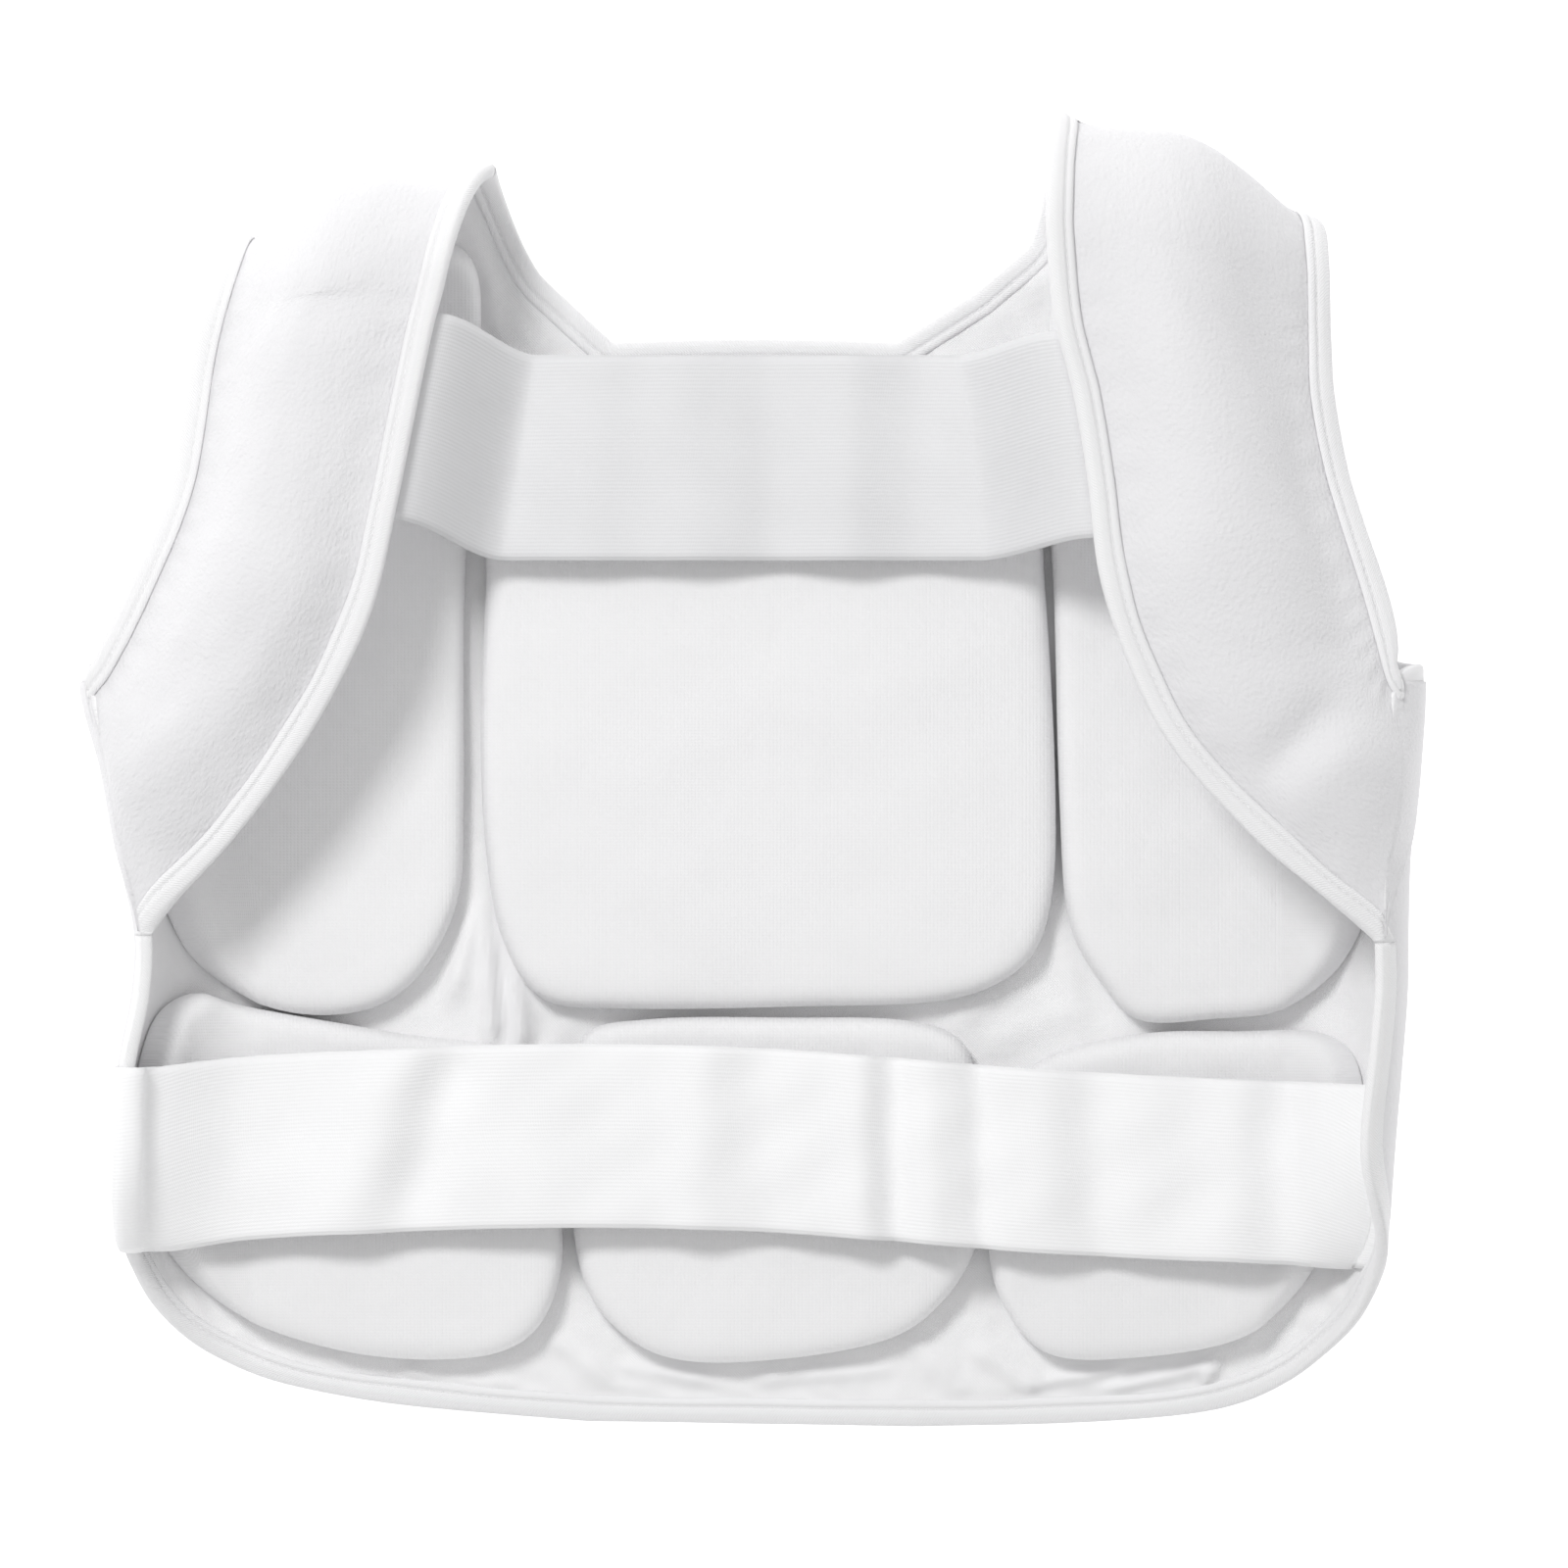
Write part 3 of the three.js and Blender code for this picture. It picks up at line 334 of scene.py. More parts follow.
def panel_row(step, t):
    """Pattern places of one row of the panel, at shares t from -1 at the left edge to 1."""
    y, s = {}, {}
    for name, (across, up) in ROW_ENDS.items():
        y[name] = through(range(len(up)), up, step)
        s[name] = through(range(len(across)), across, step)
    bow = row_at(PANEL_ROWS, 4, step) * HALF_LENGTH
    along = t * np.where(t < 0, s["left"], s["right"])
    return np.stack([along, mix(y["left"], y["right"], (t + 1) / 2) + bow * (1 - t * t)], axis=-1)


SEAM_SHARE = 2 * SEAM_GAP / (FOLDS["left"]["neck"][2] * math.pi)


def strap_row(name, at, k):
    """Pattern places across a shoulder strap, k from 0 at the neck to 1 at the arm."""
    table = STRAP_ROWS[name]
    fold = np.minimum(row_at(table, 0, at), 1 - SEAM_SHARE)
    x = SIGN[name] * mix(row_at(table, 1, at), row_at(table, 2, at), k) * HALF_WIDTH
    return np.stack([x, fold_level(x, fold)], axis=-1)


# Meshes


def piece(name, points, faces, cloth, material):
    """A mesh object; cloth holds each point's place on its flat cloth, which the weave follows."""
    mesh = bpy.data.meshes.new(name)
    mesh.from_pydata(points.reshape(-1, 3).tolist(), [], faces)
    place = mesh.attributes.new("cloth", "FLOAT_VECTOR", "POINT")
    place.data.foreach_set("vector", np.asarray(cloth, float).reshape(-1, 3).ravel())
    mesh.polygons.foreach_set("use_smooth", [True] * len(mesh.polygons))
    mesh.materials.append(material)
    mesh.update()
    obj = bpy.data.objects.new(name, mesh)
    bpy.context.scene.collection.objects.link(obj)
    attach(obj, "root")
    return obj


def facing_out(points, faces):
    """The faces, turned round where the closed body that they make would be inside out."""
    flat = points.reshape(-1, 3)
    volume = 0.0
    for size in {len(f) for f in faces}:
        rings = flat[np.array([f for f in faces if len(f) == size])]
        for k in range(1, size - 1):
            volume += (rings[:, 0] * np.cross(rings[:, k], rings[:, k + 1])).sum()
    return [f[::-1] for f in faces] if volume < 0 else faces


def grid_cells(rows, columns, start=0):
    cells = []
    for i in range(rows - 1):
        for j in range(columns - 1):
            a = start + i * columns + j
            cells.append((a, a + 1, a + columns + 1, a + columns))
    return cells


def sheet_piece(name, lower, upper, cells, cloth, material):
    """A closed body between two sheets of points, with the same cells in both."""
    lower, upper = lower.reshape(-1, 3), upper.reshape(-1, 3)
    count = len(lower)
    open_edges = {}
    faces = []
    for cell in cells:
        faces.append(tuple(reversed(cell)))
        faces.append(tuple(k + count for k in cell))
        for p, q in zip(cell, cell[1:] + cell[:1]):
            if (q, p) in open_edges:
                del open_edges[(q, p)]
            else:
                open_edges[(p, q)] = True
    faces += [(p, q, q + count, p + count) for p, q in open_edges]
    points = np.concatenate([lower, upper])
    places = np.concatenate([cloth.reshape(-1, 3)] * 2)
    return piece(name, points, facing_out(points, faces), places, material)


def ring_piece(name, rings, cloth, material):
    """A closed body from rings of points, capped at both ends; rings is stations by points by 3."""
    stations, n = rings.shape[:2]
    faces = []
    for i in range(stations - 1):
        for j in range(n):
            a, b = i * n + j, i * n + (j + 1) % n
            faces.append((a, b, b + n, a + n))
    faces.append(tuple(reversed(range(n))))
    faces.append(tuple(range((stations - 1) * n, stations * n)))
    return piece(name, rings, facing_out(rings, faces), cloth, material)


def steps_along(points):
    """Distance along a line of points, from its start to each."""
    gaps = np.linalg.norm(np.diff(points, axis=0), axis=1)
    return np.concatenate([[0], np.cumsum(gaps)])


def evenly(points, spacing):
    """The same line with its points set evenly, about a spacing apart."""
    along = steps_along(points)
    count = max(2, int(round(along[-1] / spacing)) + 1)
    at = np.linspace(0, along[-1], count)
    return np.stack([np.interp(at, along, points[:, k]) for k in range(points.shape[1])], axis=-1)


def normals_of(grid):
    """Unit normals of a grid of points, rows by columns."""
    down, across = np.gradient(grid, axis=0), np.gradient(grid, axis=1)
    normal = np.cross(across, down)
    return normal / np.maximum(np.linalg.norm(normal, axis=-1, keepdims=True), 1e-12)


# Folds and hollows of the cloth


def creases(table, x, y):
    """Sum of soft ridges, each from one place to another with its half width and height."""
    total = np.zeros_like(x)
    for x0, y0, x1, y1, wide, high in table:
        along = np.array([x1 - x0, y1 - y0])
        length = max(np.linalg.norm(along), 1e-6)
        u = ((x - x0) * along[0] + (y - y0) * along[1]) / length**2
        off = ((x - x0) * along[1] - (y - y0) * along[0]) / length
        past = np.maximum(np.maximum(-u, u - 1), 0) * length
        total += high * np.exp(-((off / wide) ** 2) - (past / (1.6 * wide)) ** 2)
    return total


def ripples(x, y, size, seed):
    """Soft uneven waves between -1 and 1, about a size across."""
    pick = np.random.default_rng(seed)
    total = np.zeros_like(x)
    for _ in range(9):
        turn, phase = pick.uniform(0, 2 * math.pi, 2)
        k = 2 * math.pi / (size * pick.uniform(0.7, 1.6))
        total += np.sin(k * (x * math.cos(turn) + y * math.sin(turn)) + phase)
    return total / 4.5


# Cloth materials


def math_node(tree, operation, a, b=None):
    node = tree.nodes.new("ShaderNodeMath")
    node.operation = operation
    for socket, value in zip(node.inputs, (a, b)):
        if isinstance(value, bpy.types.NodeSocket):
            tree.links.new(value, socket)
        elif value is not None:
            socket.default_value = value
    return node.outputs[0]


def wave(tree, place, size, shift=None):
    """A smooth wave from -1 to 1 along a place on the cloth, size from crest to crest."""
    angle = math_node(tree, "MULTIPLY", place, 2 * math.pi / size)
    if shift is not None:
        angle = math_node(tree, "ADD", angle, shift)
    return math_node(tree, "SINE", angle)


def noise(tree, place, size, detail=2.0):
    node = tree.nodes.new("ShaderNodeTexNoise")
    tree.links.new(place, node.inputs["Vector"])
    node.inputs["Scale"].default_value = 1 / size
    node.inputs["Detail"].default_value = detail
    return node.outputs["Fac"]


def jersey_height(tree, across, up, place):
    """Knitted columns of small slanted stitches."""
    columns = math_node(tree, "ABSOLUTE", wave(tree, across, 0.0026))
    slant = math_node(tree, "MULTIPLY", columns, 2.4)
    stitches = wave(tree, up, 0.0011, slant)
    knit = math_node(tree, "ADD", math_node(tree, "MULTIPLY", stitches, 0.35), columns)
    return math_node(tree, "ADD", knit, math_node(tree, "MULTIPLY", noise(tree, place, 0.004), 0.6))


def elastic_height(tree, across, up, place):
    """Ribs along the band, crossed by fine threads."""
    ribs = wave(tree, up, 0.0014, math_node(tree, "MULTIPLY", noise(tree, place, 0.02), 1.2))
    threads = math_node(tree, "MULTIPLY", wave(tree, across, 0.0009), 0.3)
    uneven = math_node(tree, "MULTIPLY", noise(tree, place, 0.003), 0.8)
    return math_node(tree, "ADD", math_node(tree, "ADD", ribs, threads), uneven)


def fleece_height(tree, across, up, place):
    """Small uneven loops with a brushed nap."""
    loops = tree.nodes.new("ShaderNodeTexVoronoi")
    loops.feature = "SMOOTH_F1"
    tree.links.new(place, loops.inputs["Vector"])
    loops.inputs["Scale"].default_value = 1 / 0.0016
    nap = math_node(tree, "MULTIPLY", noise(tree, place, 0.0017, 4.0), 2.2)
    return math_node(tree, "SUBTRACT", nap, loops.outputs["Distance"])


def tape_height(tree, across, up, place):
    """Twill lines on the slant."""
    both = math_node(tree, "ADD", across, up)
    lines = wave(tree, both, 0.0011)
    return math_node(tree, "ADD", lines, math_node(tree, "MULTIPLY", noise(tree, place, 0.002), 1.0))


def lining_height(tree, across, up, place):
    """A fine plain weave with a little crinkle."""
    weave = math_node(tree, "MULTIPLY", wave(tree, across, 0.001), wave(tree, up, 0.001))
    crinkle = math_node(tree, "MULTIPLY", noise(tree, place, 0.007, 4.0), 3.0)
    return math_node(tree, "ADD", math_node(tree, "MULTIPLY", weave, 0.5), crinkle)


BUMP_STRENGTH = 0.7
PATCH_SHARE = 0.7
# share of the weave's relief painted into the colour as shade
WEAVE_SHADE_SHARE = 0.05


def cloth_material(slot, height, depth, light, dark, patch, roughness, sheen):
    """Cloth with a weave that gives its relief, the same relief painted into its colour as shade in its
    hollows, and wide faint patches.
    """
    material = bpy.data.materials.new(slot + "_cloth")
    material["slot"] = slot
    material.use_nodes = True
    tree = material.node_tree
    shader = tree.nodes["Principled BSDF"]
    shader.inputs["Roughness"].default_value = roughness
    shader.inputs["Sheen Weight"].default_value = sheen
    shader.inputs["Sheen Roughness"].default_value = 0.6
    shader.inputs["Specular IOR Level"].default_value = 0.25
    place = tree.nodes.new("ShaderNodeAttribute")
    place.attribute_name = "cloth"
    parts = tree.nodes.new("ShaderNodeSeparateXYZ")
    tree.links.new(place.outputs["Vector"], parts.inputs[0])
    relief = height(tree, parts.outputs["X"], parts.outputs["Y"], place.outputs["Vector"])
    bump = tree.nodes.new("ShaderNodeBump")
    bump.inputs["Distance"].default_value = depth
    bump.inputs["Strength"].default_value = BUMP_STRENGTH
    tree.links.new(relief, bump.inputs["Height"])
    tree.links.new(bump.outputs[0], shader.inputs["Normal"])
    patches = math_node(tree, "MULTIPLY", noise(tree, place.outputs["Vector"], patch, 3.0), PATCH_SHARE)
    # painted shade: the weave's relief darkens the colour in its hollows and lightens it on its crests
    weave_shade = math_node(tree, "MULTIPLY", relief, WEAVE_SHADE_SHARE)
    shade = tree.nodes.new("ShaderNodeValToRGB")
    shade.color_ramp.elements[0].position = 0.1
    shade.color_ramp.elements[1].position = 0.75
    shade.color_ramp.elements[0].color = (*dark, 1)
    shade.color_ramp.elements[1].color = (*light, 1)
    tree.links.new(math_node(tree, "ADD", patches, weave_shade), shade.inputs[0])
    tree.links.new(shade.outputs[0], shader.inputs["Base Color"])
    return material


LINING = cloth_material(
    "lining", lining_height, 0.00018, (0.92, 0.918, 0.925), (0.86, 0.858, 0.866), 0.05, 0.95, 0.15
)
JERSEY = cloth_material(
    "jersey", jersey_height, 0.00012, (0.885, 0.882, 0.89), (0.84, 0.837, 0.846), 0.08, 0.95, 0.2
)
FLEECE = cloth_material(
    "fleece", fleece_height, 0.00027, (0.812, 0.808, 0.82), (0.752, 0.748, 0.762), 0.06, 1.0, 0.12
)
# painted shade: the upper band's elastic is the same cloth as the lower band's, set darker for the shade
# it lies in
ELASTICS_LIT_AND_SHADED = {
    "upper_band": cloth_material(
        "elastic", elastic_height, 0.000045, (0.78, 0.78, 0.79), (0.72, 0.72, 0.73), 0.05, 0.8, 0.08
    ),
    "lower_band": cloth_material(
        "elastic", elastic_height, 0.000045, (0.94, 0.94, 0.945), (0.89, 0.89, 0.897), 0.05, 0.8, 0.1
    ),
}
TAPE = cloth_material(
    "tape", tape_height, 0.00008, (0.89, 0.888, 0.895), (0.85, 0.848, 0.857), 0.03, 0.85, 0.1
)


def cloth_places(*parts):
    """Cloth places from their parts, the third one setting each piece's cloth apart."""
    return np.stack(np.broadcast_arrays(*parts), axis=-1)


# Pads


def closed_curve(corners, count):
    """Evenly spaced points on a smooth closed curve through corners."""
    wrapped = np.concatenate([corners[-3:], corners, corners[:3]])
    keys = np.concatenate([[0], np.cumsum(np.linalg.norm(np.diff(wrapped, axis=0), axis=1) ** 0.5)])
    at = np.linspace(keys[3], keys[3 + len(corners)], 1201)
    return evenly_closed(through(keys, wrapped, at), count)


def evenly_closed(points, count):
    along = steps_along(points)
    at = np.linspace(0, along[-1], count + 1)[:-1]
    return np.stack([np.interp(at, along, points[:, k]) for k in range(2)], axis=-1)


def inset(outline, distance):
    along = np.roll(outline, -1, axis=0) - np.roll(outline, 1, axis=0)
    along /= np.linalg.norm(along, axis=1, keepdims=True)
    return outline + np.stack([along[:, 1], -along[:, 0]], axis=-1) * distance


def softened(ring, reach):
    """A closed ring with its corners rounded off over a reach, counted in points of the ring."""
    turns = np.fft.fftfreq(len(ring))[:, None]
    return np.fft.ifft(np.fft.fft(ring, axis=0) * np.exp(-2 * (math.pi * turns * reach) ** 2), axis=0).real


PAD_POINTS = 176
PAD_SOFTENING = 2.6
PAD_OUTLINES = {
    name: closed_curve(np.array(corners) * (HALF_WIDTH, HALF_LENGTH), PAD_POINTS)
    for name, corners in PADS.items()
}
# Section of a pad over its rounded edge: inset and height as shares of its thickness
PAD_SECTION = [
    (0.5, 0.0),
    (0.1, 0.0),
    (0.0, 0.22),
    (0.015, 0.55),
    (0.13, 0.82),
    (0.36, 0.95),
    (0.7, 0.99),
    (1, 1.0),
]
PAD_SWELL = 0.0012
PAD_LUMPS = 0.00035
PAD_CRINKLE = 0.0001
# Dents and soft ridges on the pads: from x, y to x, y, half width, height
PAD_DENTS = [
    (0.0, 0.02, 0.03, -0.04, 0.03, -0.0008),
    (-0.07, -0.03, -0.05, 0.02, 0.02, -0.0006),
    (-0.17, -0.03, -0.13, -0.05, 0.014, -0.0008),
    (-0.18, -0.14, -0.12, -0.16, 0.016, -0.0007),
]


def pad(name, index):
    outline = PAD_OUTLINES[name]
    centre = outline.mean(axis=0)
    at = np.linspace(0, len(PAD_SECTION) - 1, 29)
    section = np.stack([row_at(PAD_SECTION, k, at) for k in (0, 1)], axis=-1)
    section = np.clip(section, 0, 1)
    inner = inset(outline, PAD_THICK)
    rings = [softened(inset(outline, step[0] * PAD_THICK), PAD_SOFTENING * step[0]) for step in section]
    heights = [step[1] * PAD_THICK for step in section]
    spread = np.linspace(1, 0.03, 30)[1:]
    below = [centre + (inset(outline, 0.5 * PAD_THICK) - centre) * k for k in (0.06, 0.4, 0.8)]
    above = [centre + (softened(inner, PAD_SOFTENING + 6 * (1 - k)) - centre) * k for k in spread]
    flat = np.array(below + rings + above)
    high = np.array([0.0] * len(below) + heights + [PAD_THICK] * len(above))[:, None]
    x, y = flat[..., 0], flat[..., 1]
    share = high / PAD_THICK
    crown = np.concatenate([np.zeros(len(below) + len(rings)), 1 - spread**2])[:, None]
    soft = ripples(x, y, 0.035, 11 + index) * PAD_LUMPS + ripples(x, y, 0.012, 31 + index) * PAD_CRINKLE
    h = PAD_BASE + high + share * (crown * PAD_SWELL + soft + creases(PAD_DENTS, x, y))
    rings3 = panel_point(x, y, h)
    places = cloth_places(x, y, 0.3 * index + high)
    obj = ring_piece(name + "_cover", rings3, places, JERSEY)
    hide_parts(name)
    return obj


for number, pad_name in enumerate(PADS):
    pad(pad_name, number)

# Front panel

RIM_LIFT = 0.0015
RIM_REACH = 0.011
PANEL_RIM_THIN = 0.0006
EDGE_GATHER = 0.0005
GATHER_LENGTH = 0.016
GATHER_PLACE = 0.013  # how far in from the bound edge, and over what width
GATHER_WIDTH = 0.008
LINING_LUMPS = 0.0007
LINING_CRINKLE = 0.0003
PAD_MARGIN = 0.0005  # the lining lies flat under the pads and this far round them
FREE_RISE = 0.005
EDGE_MARGIN = 0.006
TIP_GAP = 0.04  # shares of a row left between the tapes of the panel and of the wings
ARMPIT_GAP = 0.03
EDGE_SPACING = 0.002
NECK_COLUMNS = 26
ARM_COLUMNS = 90
# Creases of the lining between the pads: from s, y to s, y, half width, height
LINING_CREASES = [
    (-0.097, -0.066, -0.0945, -0.106, 0.0026, 0.0052),
    (-0.0885, -0.062, -0.0835, -0.106, 0.003, 0.0058),
    (-0.103, -0.056, -0.109, -0.078, 0.0034, 0.0036),
    (-0.0965, -0.04, -0.0985, -0.06, 0.0024, 0.0026),
    (-0.0925, -0.07, -0.0895, -0.106, 0.0016, -0.002),
    (0.106, -0.04, 0.12, -0.09, 0.0045, 0.002),
    (0.095, -0.076, 0.078, -0.088, 0.005, 0.0022),
    (0.115, -0.088, 0.09, -0.098, 0.004, 0.0016),
    (-0.068, -0.092, -0.075, -0.104, 0.003, 0.002),
    (-0.202, -0.062, -0.196, -0.078, 0.005, 0.002),
    (-0.07, -0.21, -0.05, -0.224, 0.004, 0.002),
    (-0.045, -0.218, -0.015, -0.223, 0.0032, 0.0018),
    (0.005, -0.222, 0.045, -0.219, 0.0034, 0.0019),
    (0.062, -0.212, 0.076, -0.224, 0.0045, 0.0022),
    (0.086, -0.214, 0.098, -0.222, 0.004, 0.0034),
    (0.104, -0.224, 0.13, -0.219, 0.003, 0.0024),
    (0.132, -0.226, 0.164, -0.218, 0.0032, 0.0026),
    (0.168, -0.219, 0.165, -0.23, 0.0026, 0.0034),
    (-0.125, -0.222, -0.09, -0.226, 0.003, 0.0014),
    (-0.108, 0.19, -0.102, 0.15, 0.004, 0.0022),
    (-0.096, 0.175, -0.09, 0.15, 0.003, 0.0016),
    (0.108, 0.165, 0.102, 0.19, 0.0035, 0.002),
]


def inside(outline, x, y):
    """Whether each place lies inside a closed outline."""
    found = np.zeros(x.shape, bool)
    for (x0, y0), (x1, y1) in zip(outline, np.roll(outline, -1, axis=0)):
        if y0 == y1:
            continue
        crosses = (y0 > y) != (y1 > y)
        found ^= crosses & (x < x0 + (y - y0) * (x1 - x0) / (y1 - y0))
    return found


def distance_to(line, places):
    """Distance of each place from a dense line of points."""
    tree = KDTree(len(line))
    for i, p in enumerate(line):
        tree.insert((p[0], p[1], 0), i)
    tree.balance()
    return np.array([tree.find((p[0], p[1], 0))[2] for p in places])


inner_shares = np.linspace(0, NECK_SHARE, NECK_COLUMNS + 1)
outer_shares = np.linspace(NECK_SHARE, 1, ARM_COLUMNS + 1)
half_shares = np.concatenate([inner_shares, outer_shares[1:]])
SHARES = np.concatenate([-half_shares[:0:-1], half_shares])
STEPS = np.linspace(0, 18, 165)
panel_grid = np.stack([panel_row(step, SHARES) for step in STEPS])
strap_grids = {}
for strap in ("left", "right"):
    k = (outer_shares - NECK_SHARE) / (1 - NECK_SHARE)
    top = panel_row(18, SIGN[strap] * outer_shares)
    first = strap_row(strap, 0, k)
    rows = [mix(top, first, v) for v in np.linspace(0, 1, 7)[1:-1]]
    rows += [strap_row(strap, at, k) for at in np.linspace(0, 8, 41)]
    strap_grids[strap] = np.stack(rows)


def panel_edges():
    """The bound edges of the front panel, as lines of pattern places."""
    fine = np.linspace(0, TIP_ROW - TIP_GAP, 260)
    left = np.stack([panel_row(step, np.array([-1.0]))[0] for step in fine])
    right = np.stack([panel_row(step, np.array([1.0]))[0] for step in fine])
    hem = np.concatenate([left[::-1], panel_grid[0][1:-1], right])
    top = panel_row(18, np.linspace(-NECK_SHARE, NECK_SHARE, 41))
    neck = np.concatenate([strap_grids["left"][::-1, 0], top, strap_grids["right"][:, 0]])
    edges = {"hem_binding": hem, "neck_binding": neck}
    for name, share in (("left", -1.0), ("right", 1.0)):
        steps = np.linspace(ARMPIT_ROW + ARMPIT_GAP, 18, 130)
        body = np.stack([panel_row(step, np.array([share]))[0] for step in steps])
        edges[name + "_armhole_binding"] = np.concatenate([body, strap_grids[name][:, -1]])
    return {name: evenly(line, EDGE_SPACING) for name, line in edges.items()}


EDGES = panel_edges()


def front_panel():
    wide = len(SHARES)
    cells = grid_cells(len(STEPS), wide)
    middle = wide // 2
    top_row = (len(STEPS) - 1) * wide
    flat = [panel_grid.reshape(-1, 2)]
    count = panel_grid.shape[0] * wide
    for name, sign in SIGN.items():
        rows = strap_grids[name]
        below = [top_row + middle + sign * (NECK_COLUMNS + k) for k in range(ARM_COLUMNS + 1)]
        for row in rows:
            above = [count + k for k in range(ARM_COLUMNS + 1)]
            for k in range(ARM_COLUMNS):
                ring = (below[k], below[k + 1], above[k + 1], above[k])
                cells.append(ring if sign > 0 else ring[::-1])
            flat.append(row)
            count += len(row)
            below = above
    places = np.concatenate(flat)
    x, y = places[:, 0], places[:, 1]
    from_edge = distance_to(np.concatenate(list(EDGES.values())), places)
    under_pads = np.zeros(x.shape, bool)
    from_pads = np.full(x.shape, 1.0)
    for outline in PAD_OUTLINES.values():
        under_pads |= inside(outline, x, y)
        from_pads = np.minimum(from_pads, distance_to(evenly_closed(outline, 400), places))
    free = np.where(under_pads, 0, smooth((from_pads - PAD_MARGIN) / FREE_RISE))
    free *= smooth((from_edge - EDGE_MARGIN) / EDGE_MARGIN)
    pinch = 1 - smooth(from_edge / RIM_REACH)
    gather = np.sin(2 * math.pi * (x + 0.3 * y) / GATHER_LENGTH + 1.2 * ripples(x, y, 0.06, 5))
    near_edge = np.exp(-(((from_edge - GATHER_PLACE) / GATHER_WIDTH) ** 2))
    lumps = LINING_LUMPS * ripples(x, y, 0.022, 3) + LINING_CRINKLE * ripples(x, y, 0.009, 4)
    rise = creases(LINING_CREASES, x, y) + lumps + EDGE_GATHER * gather * near_edge
    inner = SHELL_WALL - PANEL_RIM_THIN * pinch + free * rise
    outer = RIM_LIFT * pinch
    across = cloth_places(x, y, 0.0)
    obj = sheet_piece(
        "front_lining", panel_point(x, y, outer), panel_point(x, y, inner), cells, across, LINING
    )
    # The outer side is the cloth of the wings
    obj.data.materials.append(FLEECE)
    for face in list(obj.data.polygons)[: 2 * len(cells) : 2]:
        face.material_index = 1
    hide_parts("front_shell")
    return obj


front = front_panel()

# Wings: padded pieces over the shoulders and down the back of the armholes

WING_COLUMNS = np.linspace(0, 1, 73)
WING_STEPS = 190
WING_FULLNESS = 0.0075  # how far the padding swells over the middle of a wing
SEAM_FULLNESS = {"left": 0.3, "right": 0.6}  # share of the padding left at the side seam
OVERLAP = {"left": 0.016, "right": 0.031}  # how far a wing's cloth carries on round the side
OVERLAP_ROWS = 10
OVERLAP_WALL = 0.0008
SEAM_OUT = 0.0005  # the seam and the cloth over it stand out this far past the panel's edge
OVERLAP_OUT = 0.0006
WING_LIFT = 0.0003  # clear space under a wing's cloth
RIM_THIN = 0.0008  # the rims are pressed this much thinner than the panel's wall
PADDING_CURVE = 2.4
WING_CLOTH = 0.12  # nominal width of the wings' cloth, for its weave
WING_LUMPS = 0.0007
WING_CRINKLE = 0.00022
PUCKER = 0.00025
PUCKER_LENGTH = 0.015
PUCKER_PLACE = 0.0135
PUCKER_WIDTH = 0.005
SHOULDER_PINCH = 0.02
SEAM_PINCH = 0.03
# Soft hollows and folds of the wings: from x, y to x, y, half width, height
WING_FOLDS = {
    "left": [
        (-0.15, 0.125, -0.146, 0.095, 0.024, -0.003),
        (-0.196, 0.022, -0.19, 0.004, 0.016, -0.0034),
        (-0.214, 0.006, -0.186, 0.03, 0.01, 0.0018),
        (-0.16, 0.06, -0.184, 0.01, 0.016, 0.003),
        (-0.17, 0.165, -0.15, 0.185, 0.022, 0.0014),
        (-0.206, -0.02, -0.196, -0.04, 0.01, 0.0014),
    ],
    "right": [
        (0.18, 0.164, 0.184, 0.15, 0.019, -0.0048),
        (0.177, -0.008, 0.199, 0.014, 0.0085, -0.0044),
        (0.186, -0.016, 0.212, 0.004, 0.012, 0.0026),
        (0.198, 0.116, 0.214, 0.05, 0.014, -0.0056),
        (0.15, 0.06, 0.168, 0.012, 0.016, 0.0022),
        (0.15, 0.19, 0.156, 0.15, 0.02, 0.0014),
        (0.214, -0.03, 0.222, -0.056, 0.01, -0.0016),
    ],
}


def seam_edge(name, share):
    """The side edge where a wing is sewn on, from its tip to the armpit: across and level."""
    up = [ROW_ENDS[name][1][step] for step in (TIP_ROW, ARMPIT_ROW)]
    y = mix(up[0], up[1], share)
    return np.abs(across_to_pattern(name, np.full_like(y, 2.0), y)), y


def seam_place(name, share, h):
    """A place on a wing's side seam, from its tip to the armpit."""
    edge, y = seam_edge(name, share)
    return panel_point(SIGN[name] * (edge + SEAM_OUT), y, h)


def fold_place(name, row, share, h):
    x = SIGN[name] * HALF_WIDTH * mix(row[1], row[2], share)
    ends = []
    for across in row[1:3]:
        end_x = np.array([SIGN[name] * across * HALF_WIDTH])
        ends.append(folded(end_x, fold_level(end_x, max(row[0], 1 + SEAM_SHARE)), SHELL_WALL)[0])
    x = mix(ends[0][0], ends[1][0], share)
    return folded(x, fold_level(x, max(row[0], 1 + SEAM_SHARE)), h), ends


